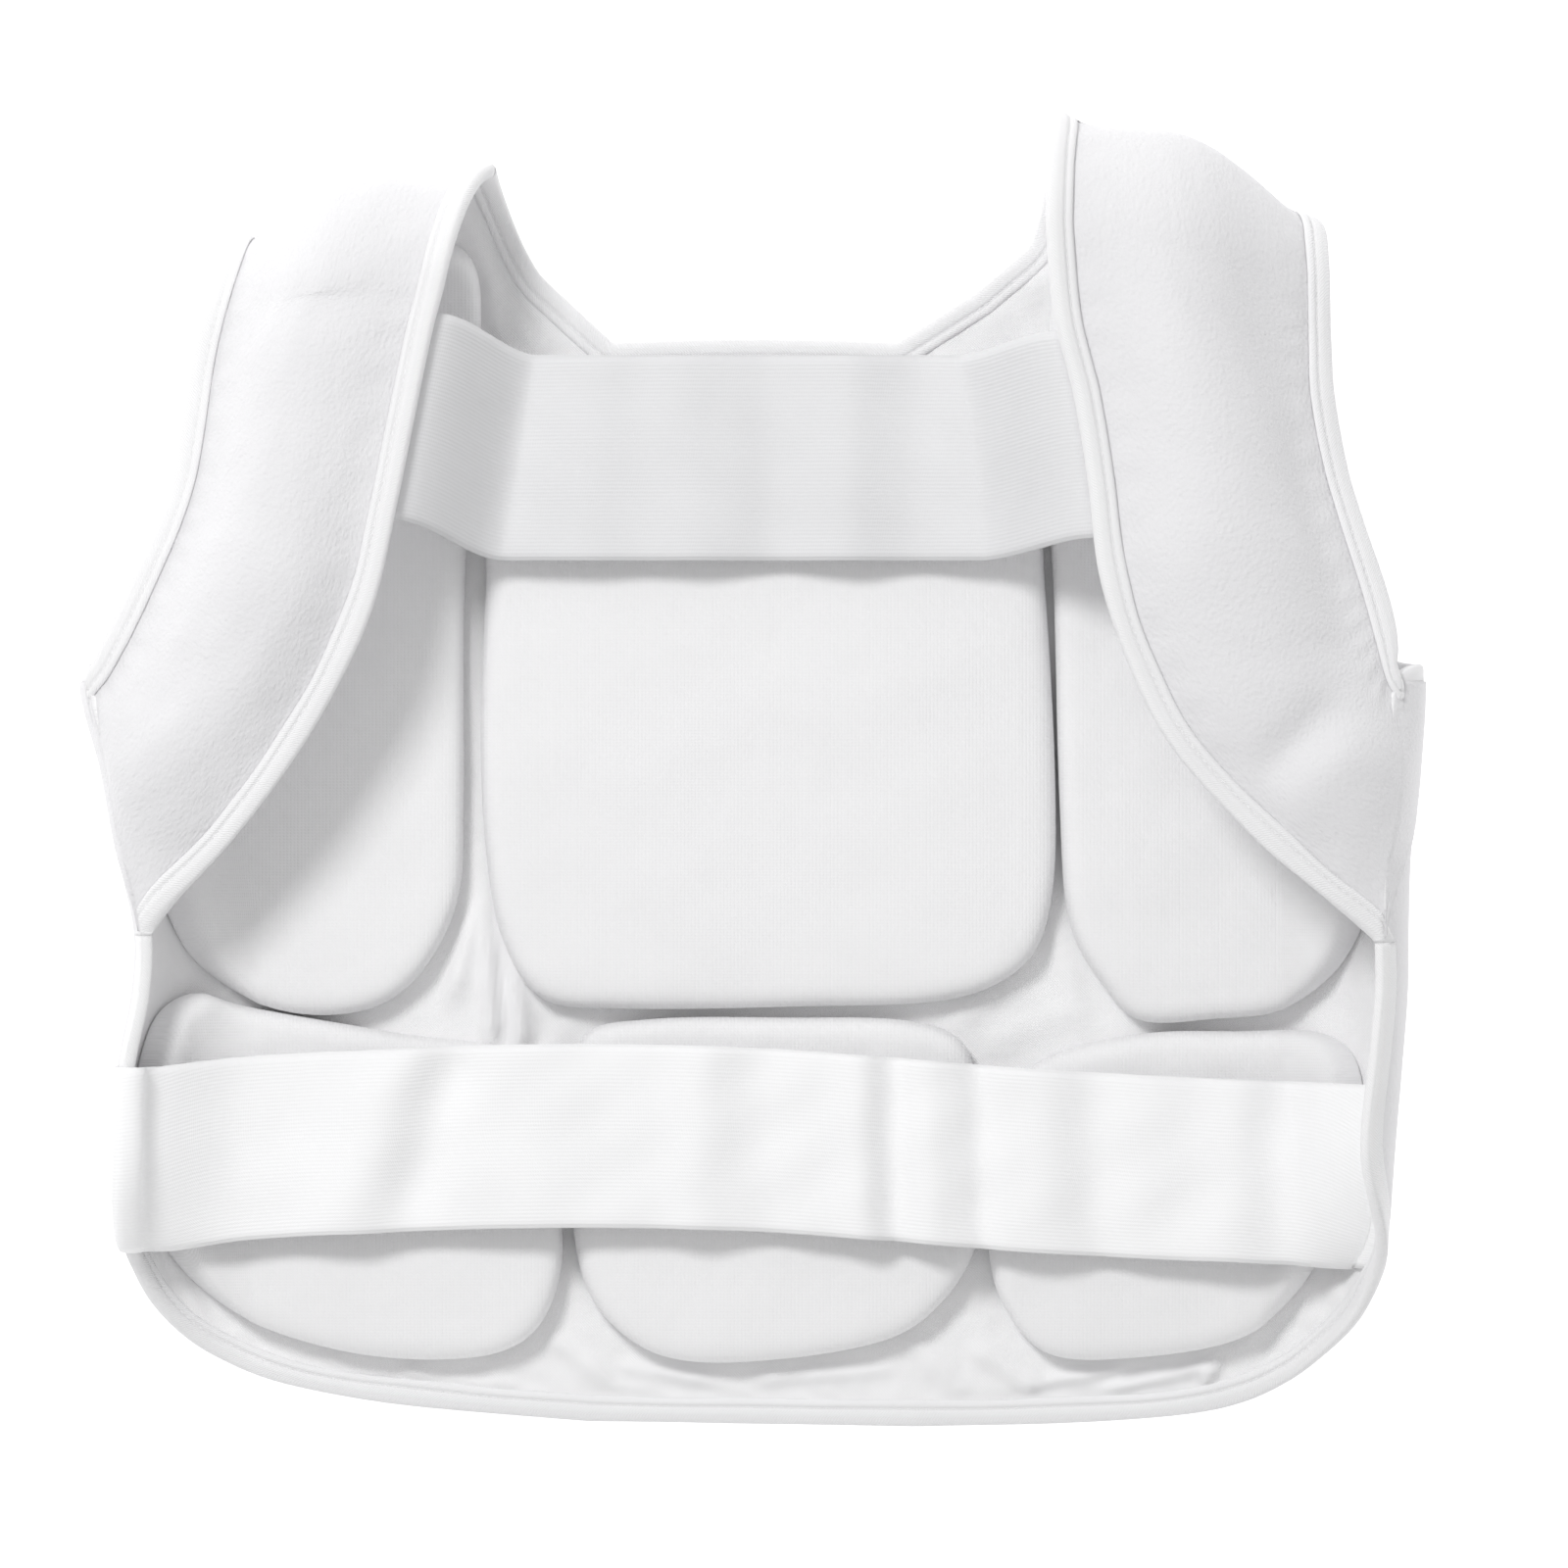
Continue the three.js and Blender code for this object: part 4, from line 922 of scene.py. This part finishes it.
def wing_grid(name):
    """The inner face of a wing and its normals, rows from the shoulder seam to the side seam."""
    share = WING_COLUMNS
    rows, crowns = [], []
    for row in WING_FOLD_ROWS[name]:
        places, ends = fold_place(name, row, share, SHELL_WALL)
        rows.append(places)
        top = ends
    seam = seam_place(name, share, SHELL_WALL)
    for inner_x, inner_y, inner_fall, arm_x, arm_y, arm_fall, crown in WING_ROWS[name]:
        inner_z = mix(top[0][2], seam[0][2], inner_fall)
        arm_z = mix(top[1][2], seam[-1][2], arm_fall)
        inner = np.array([SIGN[name] * inner_x * HALF_WIDTH, inner_y * HALF_LENGTH, inner_z])
        arm = np.array([SIGN[name] * arm_x * HALF_WIDTH, arm_y * HALF_LENGTH, arm_z])
        places = mix(inner, arm, share[:, None])
        places[:, 2] += crown * WING_CROWN * np.sin(math.pi * share) ** 2
        rows.append(places)
    rows.append(seam)
    coarse = np.stack(rows)
    keys = steps_along(coarse[:, len(share) // 2])
    at = np.linspace(0, keys[-1], WING_STEPS)
    base = through(keys, coarse, at)
    normal = normals_of(base) * -SIGN[name]
    shoulder = fold_place(name, WING_FOLD_ROWS[name][0], share, 0.0)[0] - coarse[0]
    side = seam_place(name, share, 0.0) - seam
    for index, target in ((0, shoulder), (-1, side)):
        target = target / np.linalg.norm(target, axis=-1, keepdims=True)
        near = np.exp(-((at - at[index]) / 0.012) ** 2)[:, None, None]
        normal = normal * (1 - near) + target[None] * near
    # The flat rims face one way across their width
    from_inner = np.linalg.norm(base - base[:, :1], axis=-1)
    from_arm = np.linalg.norm(base - base[:, -1:], axis=-1)
    for edge, distance in ((0, from_inner), (-1, from_arm)):
        rim = np.abs(distance - SEWN_RIM).argmin(axis=1)
        facing = normal[np.arange(len(base)), rim][:, None]
        hold = (1 - smooth((distance - 0.8 * SEWN_RIM) / (0.8 * SEWN_RIM)))[..., None]
        normal = normal * (1 - hold) + facing * hold
    normal /= np.linalg.norm(normal, axis=-1, keepdims=True)
    return base, normal, from_inner, from_arm, at


WINGS = {name: wing_grid(name) for name in SIGN}


def past_seam(name, far, h):
    """The wing's cloth where it carries on round the outside of the side, widest at the armpit."""
    edge, y = seam_edge(name, WING_COLUMNS)
    inward = far * OVERLAP[name] * smooth(WING_COLUMNS / 0.6)
    return panel_point(SIGN[name] * (edge + OVERLAP_OUT - inward), y, h)


def wing(name, index):
    base, normal, from_inner, from_arm, at = WINGS[name]
    edge = np.minimum(from_inner, from_arm)
    rise = 1 - (1 - np.clip((edge - SEWN_RIM) / PADDING_RISE, 0, 1)) ** PADDING_CURVE
    held = SEAM_FULLNESS[name] * smooth((WING_COLUMNS - 0.1) / 0.35)
    shoulder = 1 - (1 - np.clip((at[:, None] - 0.001) / SHOULDER_PINCH, 0, 1)) ** 2
    side = 1 - (1 - np.clip((at[-1] - at[:, None] - 0.001) / SEAM_PINCH, 0, 1)) ** 2
    ends = shoulder * mix(side, 1, held)
    full = rise * ends
    x, y = base[..., 0], base[..., 1]
    u = from_inner / (from_inner + from_arm) * WING_CLOTH
    v = np.broadcast_to(at[:, None], x.shape)
    puckers = np.sin(2 * math.pi * v / PUCKER_LENGTH + 1.6 * ripples(0 * v, v, 0.06, 17 + index))
    near_rim = np.exp(-(((edge - PUCKER_PLACE) / PUCKER_WIDTH) ** 2)) * PUCKER
    soft = ripples(u, v, 0.05, 7 + index) * WING_LUMPS + ripples(u, v, 0.018, 8 + index) * WING_CRINKLE
    folds = creases(WING_FOLDS[name], x, y)
    along = at[:, None] / at[-1]
    across = np.sin(math.pi * from_inner / (from_inner + from_arm)) ** 2
    swell = WING_FULLNESS * (1 - smooth((along - 0.55) / 0.3)) * across
    padding = full * (WING_THICK - SHELL_WALL + swell + soft + folds)
    thick = SHELL_WALL - RIM_THIN + padding + near_rim * puckers
    outer = base + normal * thick[..., None]
    inner = base + normal * WING_LIFT
    far = np.linspace(0, 1, OVERLAP_ROWS + 1)[1:]
    start = SHELL_WALL - thick[-1]
    beyond = [past_seam(name, k, mix(start, -OVERLAP_WALL, 1 - (1 - k) ** 2)) for k in far]
    outer = np.concatenate([outer, np.stack(beyond)])
    inner = np.concatenate([inner, np.stack([past_seam(name, k, -0.0002) for k in far])])
    u = np.concatenate([u, np.repeat(u[-1:], OVERLAP_ROWS, axis=0)])
    v = np.concatenate([v, v[-1:] + far[:, None] * OVERLAP[name]])
    cells = grid_cells(*outer.shape[:2])
    places = cloth_places(u, v, 2.0 + index)
    obj = sheet_piece(name + "_wing_cover", inner, outer, cells, places, FLEECE)
    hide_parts(name + "_wing")
    return obj


for number, wing_name in enumerate(WINGS):
    wing(wing_name, number)

# Elastic bands

UPPER_BAND_UP = {"left": 0.536, "middle": 0.477, "right": 0.508}
UPPER_BAND_DROP = 0.16
LOWER_BAND_LINE = [(-1.0, -0.585), (-0.4, -0.554), (0.0, -0.558), (0.45, -0.592), (0.9, -0.613)]
BAND_ROWS = 25
SELVEDGE = 0.0035
SELVEDGE_THIN = 0.0004
UPPER_DROP = 0.004  # how far the upper band's ends lie below the wings' faces
FREE_STEPS = 191
LAP_CLEAR = 0.0006  # the lower band's lap outside the left side
EDGE_PAST = 0.0052  # and its turn over that side's edge
EDGE_LIFT = 0.0035
EDGE_CLEAR = 0.0004
WAVE_HEIGHT = {"upper_band": 1.2, "lower_band": 1.4}  # a scale on the heights below
# Waves of each band: from x, y at its lower edge to x, y at its upper edge, half width, height
UPPER_WAVES = [
    (-0.06, 0.075, -0.054, 0.16, 0.012, 0.0016),
    (-0.022, 0.075, -0.026, 0.16, 0.014, 0.0022),
    (0.008, 0.075, 0.006, 0.16, 0.011, -0.0022),
    (0.034, 0.075, 0.036, 0.16, 0.011, 0.0026),
    (0.058, 0.075, 0.062, 0.16, 0.01, -0.0016),
    (0.09, 0.075, 0.088, 0.16, 0.014, 0.0018),
    (-0.096, 0.075, -0.09, 0.16, 0.012, -0.001),
]
LOWER_WAVES = [
    (-0.15, -0.172, -0.142, -0.1, 0.02, 0.0014),
    (-0.142, -0.15, -0.128, -0.112, 0.013, 0.003),
    (-0.124, -0.15, -0.112, -0.112, 0.011, -0.003),
    (-0.08, -0.172, -0.08, -0.1, 0.016, 0.0012),
    (-0.022, -0.172, -0.018, -0.1, 0.011, 0.0024),
    (0.006, -0.172, 0.004, -0.1, 0.011, -0.0016),
    (0.04, -0.172, 0.038, -0.1, 0.008, 0.003),
    (0.052, -0.172, 0.051, -0.1, 0.006, -0.0026),
    (0.066, -0.172, 0.064, -0.1, 0.008, 0.0022),
    (0.084, -0.172, 0.082, -0.1, 0.006, -0.0028),
    (0.104, -0.172, 0.106, -0.1, 0.01, 0.0018),
    (0.126, -0.172, 0.124, -0.1, 0.01, -0.0026),
    (0.176, -0.172, 0.178, -0.1, 0.012, 0.003),
    (0.194, -0.172, 0.196, -0.1, 0.009, -0.0038),
]


def band(name, rows, slack, waves, index):
    """A band from rows of points; slack says where it hangs free and may wave."""
    grid = np.stack(rows)
    normal = normals_of(grid)
    if normal[len(grid) // 2, grid.shape[1] // 2, 2] < 0:
        normal = -normal
    x, y = grid[..., 0], grid[..., 1]
    lift = slack * (WAVE_HEIGHT[name] * creases(waves, x, y) + 0.0005 * ripples(x, y, 0.03, 21 + index))
    grid = grid + normal * lift[..., None]
    across = np.stack([steps_along(row) for row in grid])
    up = np.stack([steps_along(line) for line in grid.transpose(1, 0, 2)]).T
    width = up[-1:, :]
    from_edge = np.minimum(up, width - up)
    selvedge = -SELVEDGE_THIN * smooth(1 - from_edge / SELVEDGE)
    places = cloth_places(across, up, 4.0 + index)
    cells = grid_cells(*grid.shape[:2])
    wall = BAND_WALL + selvedge
    obj = sheet_piece(
        name + "_webbing",
        grid - normal * selvedge[..., None],
        grid + normal * wall[..., None],
        cells,
        places,
        ELASTICS_LIT_AND_SHADED[name],
    )
    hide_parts(name)
    return obj, float(across[BAND_ROWS // 2, -1])


def under_wing(name, y, inward, below):
    """Points under a wing beside its inner edge, at a level, so far in and so far below."""
    base, normal, from_inner, _, _ = WINGS[name]
    start = int(np.argmax(base[:, 0, 1]))
    line = base[start:, 0]
    rim = np.abs(from_inner[start:] - SEWN_RIM).argmin(axis=1)
    inner_line = base[start:][np.arange(len(line)), rim]
    keys = -line[:, 1]
    at, toward, facing = (
        through(keys, values, np.array([-y]))[0] for values in (line, inner_line - line, normal[start:, 0])
    )
    toward /= np.linalg.norm(toward)
    facing /= np.linalg.norm(facing)
    return at + toward * inward - facing * below


def upper_band():
    rows = []
    span_shares = np.linspace(0, 1, 161)
    for v in np.linspace(-0.5, 0.5, BAND_ROWS):
        level = {key: up * HALF_LENGTH + v * UPPER_BAND for key, up in UPPER_BAND_UP.items()}
        start = under_wing("left", level["left"], 0.0, UPPER_DROP)
        end = under_wing("right", level["right"], 0.0, UPPER_DROP)
        down = smooth(np.minimum(span_shares, 1 - span_shares) / UPPER_BAND_DROP)
        near = np.where((span_shares < 0.5)[:, None], start, end)
        x = mix(start[0], end[0], span_shares)
        y = mix(near[:, 1], level["middle"], down)
        z = mix(near[:, 2], BAND_LOW, down)
        laps = [under_wing("left", level["left"], k * BAND_LAP, UPPER_DROP) for k in (1.0, 0.66, 0.33)]
        tail = [under_wing("right", level["right"], k * BAND_LAP, UPPER_DROP) for k in (0.33, 0.66, 1.0)]
        rows.append(np.concatenate([laps, np.stack([x, y, z], axis=-1), tail]))
    slack = np.zeros(len(rows[0]))
    slack[3:-3] = smooth(np.minimum(span_shares, 1 - span_shares) / 0.22)
    return band("upper_band", rows, slack, UPPER_WAVES, 0)


def lower_level(x, v):
    """Level of the lower band at a place across, v of its width up from its middle line."""
    line = through(column(LOWER_BAND_LINE, 0), column(LOWER_BAND_LINE, 1), x / HALF_WIDTH)
    return line * HALF_LENGTH + v * LOWER_BAND


def beside_edge(name, y, from_edge, h):
    """Points on a side of the panel at a level, so far in from its edge and so high above it."""
    return panel_point(side_edge(name, y) - SIGN[name] * from_edge, y, h)


def lower_band_row(v):
    """One line along the lower band: its sewn lap, its free part and its tucked end."""
    left, right = (float(lower_level(sign * HALF_WIDTH, v)) for sign in SIGN.values())
    lap_end = float(across_to_pattern("left", 2.0, left)) + LOWER_LAP
    lap = beside_edge("left", left, np.linspace(lap_end - side_edge("left", left), 0, 14), -LAP_CLEAR)
    turn = np.linspace(0, math.pi, 9)
    over = (SHELL_WALL + EDGE_LIFT) * (1 - np.cos(turn)) / 2 - EDGE_CLEAR
    round_edge = beside_edge("left", left, -EDGE_PAST * np.sin(turn), over)
    leave = beside_edge("left", left, np.array([0.006, 0.011]), np.array([0.0098, 0.0145]))
    tuck = np.linspace(0, 1, 9)
    sunk = SHELL_WALL + mix(0.0012, -0.0022, tuck**1.5)
    arrive = beside_edge("right", right, mix(0.02, 0.005, tuck), sunk)
    x = np.linspace(-float(flat_half(False, left)), float(flat_half(True, right)), 9)
    slack = np.stack([x, lower_level(x, v), np.full_like(x, BAND_LOW)], axis=-1)
    line = np.concatenate([leave[-1:], slack, arrive[:1]])
    keys = steps_along(line)
    free = through(keys, line, np.linspace(0, keys[-1], FREE_STEPS))
    return np.concatenate([lap, round_edge, leave[:1]]), free, arrive[1:]


def lower_band():
    """Sewn down the outside of the left side, over its edge, slack across the pads and up to the
    inner face of the right side."""
    parts = [lower_band_row(v) for v in np.linspace(-0.5, 0.5, BAND_ROWS)]
    rows = [np.concatenate(part) for part in parts]
    sewn, _, tucked = parts[0]
    slack = np.zeros(len(rows[0]))
    span = np.linspace(0, 1, FREE_STEPS)
    slack[len(sewn) : -len(tucked)] = smooth(np.minimum(span, 1 - span) / 0.14)
    return band("lower_band", rows, slack, LOWER_WAVES, 1)


def side_edge(name, y):
    """The pattern place of a side edge at a level."""
    share = np.array([SIGN[name]], float)
    line = np.stack([panel_row(step, share)[0] for step in np.linspace(0, ARMPIT_ROW, 400)])
    return float(np.interp(y, line[:, 1], line[:, 0]))


upper, upper_length = upper_band()
lower, lower_length = lower_band()

# Binding tape, folded over each edge and stitched

TAPE_STITCH = 0.58  # the stitch line, as a share of the tape's reach
STITCH_CORNER = 5  # and its place in the section
TAPE_DOME = 0.0003
TAPE_UNEVEN = 0.05
INNER_POINTS = 6  # points of the section on the tape's inner side


def tape_section(low, high):
    """Places round a folded tape as (inward, height), over a wall from low to high."""
    wall = TAPE_WALL
    top = high + TAPE_CLEAR + wall
    bottom = low - TAPE_CLEAR - wall
    middle, half = (top + bottom) / 2, (top - bottom) / 2
    reach = BINDING_REACH
    d = np.array([1.0, 0.96, 0.88, 0.76, 0.66, TAPE_STITCH, 0.5, 0.4, 0.24, 0.1])
    dome = TAPE_DOME * np.array([-2.4, -0.6, 0.7, 1.0, 0.5, -1.6, 0.5, 1.2, 1.4, 0.7])
    upper_leg = np.stack([d * reach, top + dome], axis=-1)
    turn = np.linspace(math.pi / 2, -math.pi / 2, 9)[1:-1]
    round_end = np.stack([-np.cos(turn) * (half * 0.55 + 0.0004), middle + np.sin(turn) * half], axis=-1)
    lower_leg = np.stack([d[::-1] * reach, np.full_like(d, bottom)], axis=-1)
    inner = [(reach, low - TAPE_CLEAR), (0.3 * reach, low - TAPE_CLEAR), (0, low - TAPE_CLEAR)]
    inner += [(0, high + TAPE_CLEAR), (0.3 * reach, high + TAPE_CLEAR), (reach, high + TAPE_CLEAR)]
    return np.concatenate([upper_leg, round_end, lower_leg, np.array(inner)])


def tape_on_panel(name, hand):
    """A binding along one of the front panel's edges: its rings and its stitch places."""
    line = EDGES[name]
    tangent = np.gradient(line, axis=0)
    tangent /= np.linalg.norm(tangent, axis=1, keepdims=True)
    inward = np.stack([-hand * tangent[:, 1], hand * tangent[:, 0]], axis=-1)
    along = steps_along(line)
    section = tape_section(RIM_LIFT + 0.0001, SHELL_WALL - PANEL_RIM_THIN)
    uneven = 1 + TAPE_UNEVEN * ripples(along, 0 * along, 0.04, len(name))

    def at(k, d, h):
        return panel_point(line[k, 0] + inward[k, 0] * d, line[k, 1] + inward[k, 1] * d, h)

    rings = np.stack([at(k, section[:, 0] * uneven[k], section[:, 1]) for k in range(len(line))])
    stitch = section[STITCH_CORNER]
    run = np.stack([at(k, stitch[0] * uneven[k], stitch[1]) for k in range(len(line))])
    above = np.stack([at(k, stitch[0] * uneven[k], stitch[1] + 0.001) for k in range(len(line))])
    return rings, run, above - run, along


def tape_on_wing(name, edge):
    base, normal, from_inner, from_arm, _ = WINGS[name]
    first, distance = (0, from_inner) if edge == "inner" else (-1, from_arm)
    rim = np.abs(distance - SEWN_RIM).argmin(axis=1)
    corner = base[:, first]
    inward = base[np.arange(len(base)), rim] - corner
    inward /= np.linalg.norm(inward, axis=1, keepdims=True)
    facing = normal[:, first]
    keep = slice(1, -1 if edge == "inner" else -2)
    corner, inward, facing = corner[keep], inward[keep], facing[keep]
    section = tape_section(WING_LIFT + 0.0001, SHELL_WALL - RIM_THIN)
    along = steps_along(corner)
    uneven = 1 + TAPE_UNEVEN * ripples(along, 0 * along, 0.04, 5 + len(edge))
    d = section[None, :, 0, None] * uneven[:, None, None]
    rings = corner[:, None] + inward[:, None] * d + facing[:, None] * section[None, :, 1, None]
    stitch = section[STITCH_CORNER]
    run = corner + inward * (stitch[0] * uneven)[:, None] + facing * stitch[1]
    return rings, run, facing, along


def tape(node, rings, along, index):
    round_tape = np.linalg.norm(np.diff(rings, axis=1, append=rings[:, :1]), axis=-1).cumsum(axis=1)
    places = cloth_places(along[:, None], round_tape, 6.0 + index)
    obj = ring_piece(node + "_tape", rings, places, TAPE)
    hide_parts(node)
    return obj


STITCH_LENGTH = 0.0024
STITCH_SPACING = 0.0033
THREAD = 0.00028


def thread_run(name, line, facing):
    """A row of short stitches along a line, each a slim closed spindle."""
    along = steps_along(line)
    count = int(along[-1] / STITCH_SPACING)
    mids = (np.arange(count) + 0.5) * STITCH_SPACING

    def pick(grid, at):
        return np.stack([np.interp(at, along, grid[:, k]) for k in range(3)], axis=-1)

    up = pick(facing, mids)
    up /= np.linalg.norm(up, axis=1, keepdims=True)
    ends = [pick(line, mids + k * STITCH_LENGTH) for k in (-0.5, -0.3, 0.3, 0.5)]
    forward = ends[3] - ends[0]
    forward /= np.maximum(np.linalg.norm(forward, axis=1, keepdims=True), 1e-9)
    side = np.cross(forward, up)
    turn = np.arange(6) * math.pi / 3
    points, faces = [], []
    for k in range(count):
        start = len(points)
        for end, (size, lift) in zip(ends, ((0.35, -0.5), (1, 0.35), (1, 0.35), (0.35, -0.5))):
            for a in turn:
                offset = side[k] * math.cos(a) + up[k] * (math.sin(a) * 0.8)
                points.append(end[k] + offset * THREAD * size + up[k] * THREAD * lift)
        for ring in range(3):
            for j in range(6):
                a, b = start + ring * 6 + j, start + ring * 6 + (j + 1) % 6
                faces.append((a, b, b + 6, a + 6))
        faces.append(tuple(start + j for j in reversed(range(6))))
        faces.append(tuple(start + 18 + j for j in range(6)))
    points = np.array(points)
    piece(name, points, facing_out(points, faces), points * (1, 1, 0) + (0, 0, 9), TAPE)


def carried_on(wing_tape, target):
    """A wing's tape carried on to the end of the panel's tape, whose section faces the other way."""
    rings, run, facing, along = wing_tape
    legs = len(target) - INNER_POINTS
    turned = np.concatenate([target[legs - 1 :: -1], target[: legs - 1 : -1]])
    extra = np.linspace(0, 1, 8)[1:]
    bridge = mix(rings[-1], turned, extra[:, None, None])
    line = np.concatenate([run[-1:], bridge[:, STITCH_CORNER]])
    return (
        np.concatenate([rings, bridge]),
        np.concatenate([run, line[1:]]),
        np.concatenate([facing, np.repeat(facing[-1:], len(bridge), axis=0)]),
        np.concatenate([along, along[-1] + steps_along(line)[1:]]),
    )


HANDS = {"hem_binding": 1, "neck_binding": -1, "left_armhole_binding": -1, "right_armhole_binding": 1}
PANEL_TAPES = {node: tape_on_panel(node, hand) for node, hand in HANDS.items()}
for number, (node, made) in enumerate(PANEL_TAPES.items()):
    rings, stitches, facing, along = made
    tape(node, rings, along, number)
    thread_run(node + "_stitches", stitches, facing)
for number, (name, edge) in enumerate([(n, e) for n in SIGN for e in ("inner", "armhole")]):
    node = f"{name}_wing_{edge}_binding"
    if edge == "inner":
        meets = PANEL_TAPES["hem_binding"][0][0 if name == "left" else -1]
    else:
        meets = PANEL_TAPES[name + "_armhole_binding"][0][0]
    rings, stitches, facing, along = carried_on(tape_on_wing(name, edge), meets)
    tape(node, rings, along, 4 + number)
    thread_run(node + "_stitches", stitches, facing)

# Floor, light and camera

VIEW_CENTRE = (0.0114, -0.0043)
VIEW_WIDTH = 0.5714
CAMERA_HEIGHT = 5.0
VIEW_LEVEL = 0.03
KEY_FROM = np.array((-0.42, 0.57, 1.0))
KEY_DISTANCE = 2.4
KEY_SIZE, KEY_POWER = 0.6, 28.5
FILL_PLACE = (1.2, -1.4, 2.6)
FILL_SIZE, FILL_POWER = 2.2, 6
SKY = 0.57
FLOOR_HALF = 6
FLOOR_GLOW = 0.6
FLOOR_GAP = 0.0004


def plain_material(name, color, glow):
    material = bpy.data.materials.new(name)
    material.use_nodes = True
    shader = material.node_tree.nodes["Principled BSDF"]
    shader.inputs["Base Color"].default_value = (*color, 1)
    shader.inputs["Roughness"].default_value = 0.9
    shader.inputs["Specular IOR Level"].default_value = 0.0
    shader.inputs["Emission Color"].default_value = (1, 1, 1, 1)
    shader.inputs["Emission Strength"].default_value = glow
    return material


def area_light(name, place, size, power):
    data = bpy.data.lights.new(name, "AREA")
    data.shape = "DISK"
    data.size = size
    data.energy = power
    obj = bpy.data.objects.new(name, data)
    obj.location = place
    toward = -obj.location
    obj.rotation_euler = toward.to_track_quat("-Z", "Y").to_euler()
    bpy.context.scene.collection.objects.link(obj)


corners = [(x * FLOOR_HALF, y * FLOOR_HALF, 0) for x, y in ((-1, -1), (1, -1), (1, 1), (-1, 1))]
floor_mesh = bpy.data.meshes.new("floor")
floor_mesh.from_pydata(corners, [], [(0, 1, 2, 3)])
floor_mesh.materials.append(plain_material("floor", (0.95, 0.95, 0.95), FLOOR_GLOW))
floor = bpy.data.objects.new("floor", floor_mesh)
floor.location.z = -FLOOR_GAP
bpy.context.scene.collection.objects.link(floor)

area_light("key", KEY_FROM / np.linalg.norm(KEY_FROM) * KEY_DISTANCE, KEY_SIZE, KEY_POWER)
area_light("fill", FILL_PLACE, FILL_SIZE, FILL_POWER)

world = bpy.data.worlds.new("studio")
world.use_nodes = True
world.node_tree.nodes["Background"].inputs["Color"].default_value = (1, 1, 1, 1)
world.node_tree.nodes["Background"].inputs["Strength"].default_value = SKY
scene = bpy.context.scene
scene.world = world
scene.view_settings.view_transform = "Standard"

camera_data = bpy.data.cameras.new("camera")
camera_data.sensor_fit = "HORIZONTAL"
camera_data.angle = 2 * math.atan(VIEW_WIDTH / 2 / (CAMERA_HEIGHT - VIEW_LEVEL))
camera_data.clip_end = 50
camera = bpy.data.objects.new("camera", camera_data)
camera.location = (*VIEW_CENTRE, CAMERA_HEIGHT)
scene.collection.objects.link(camera)
scene.camera = camera
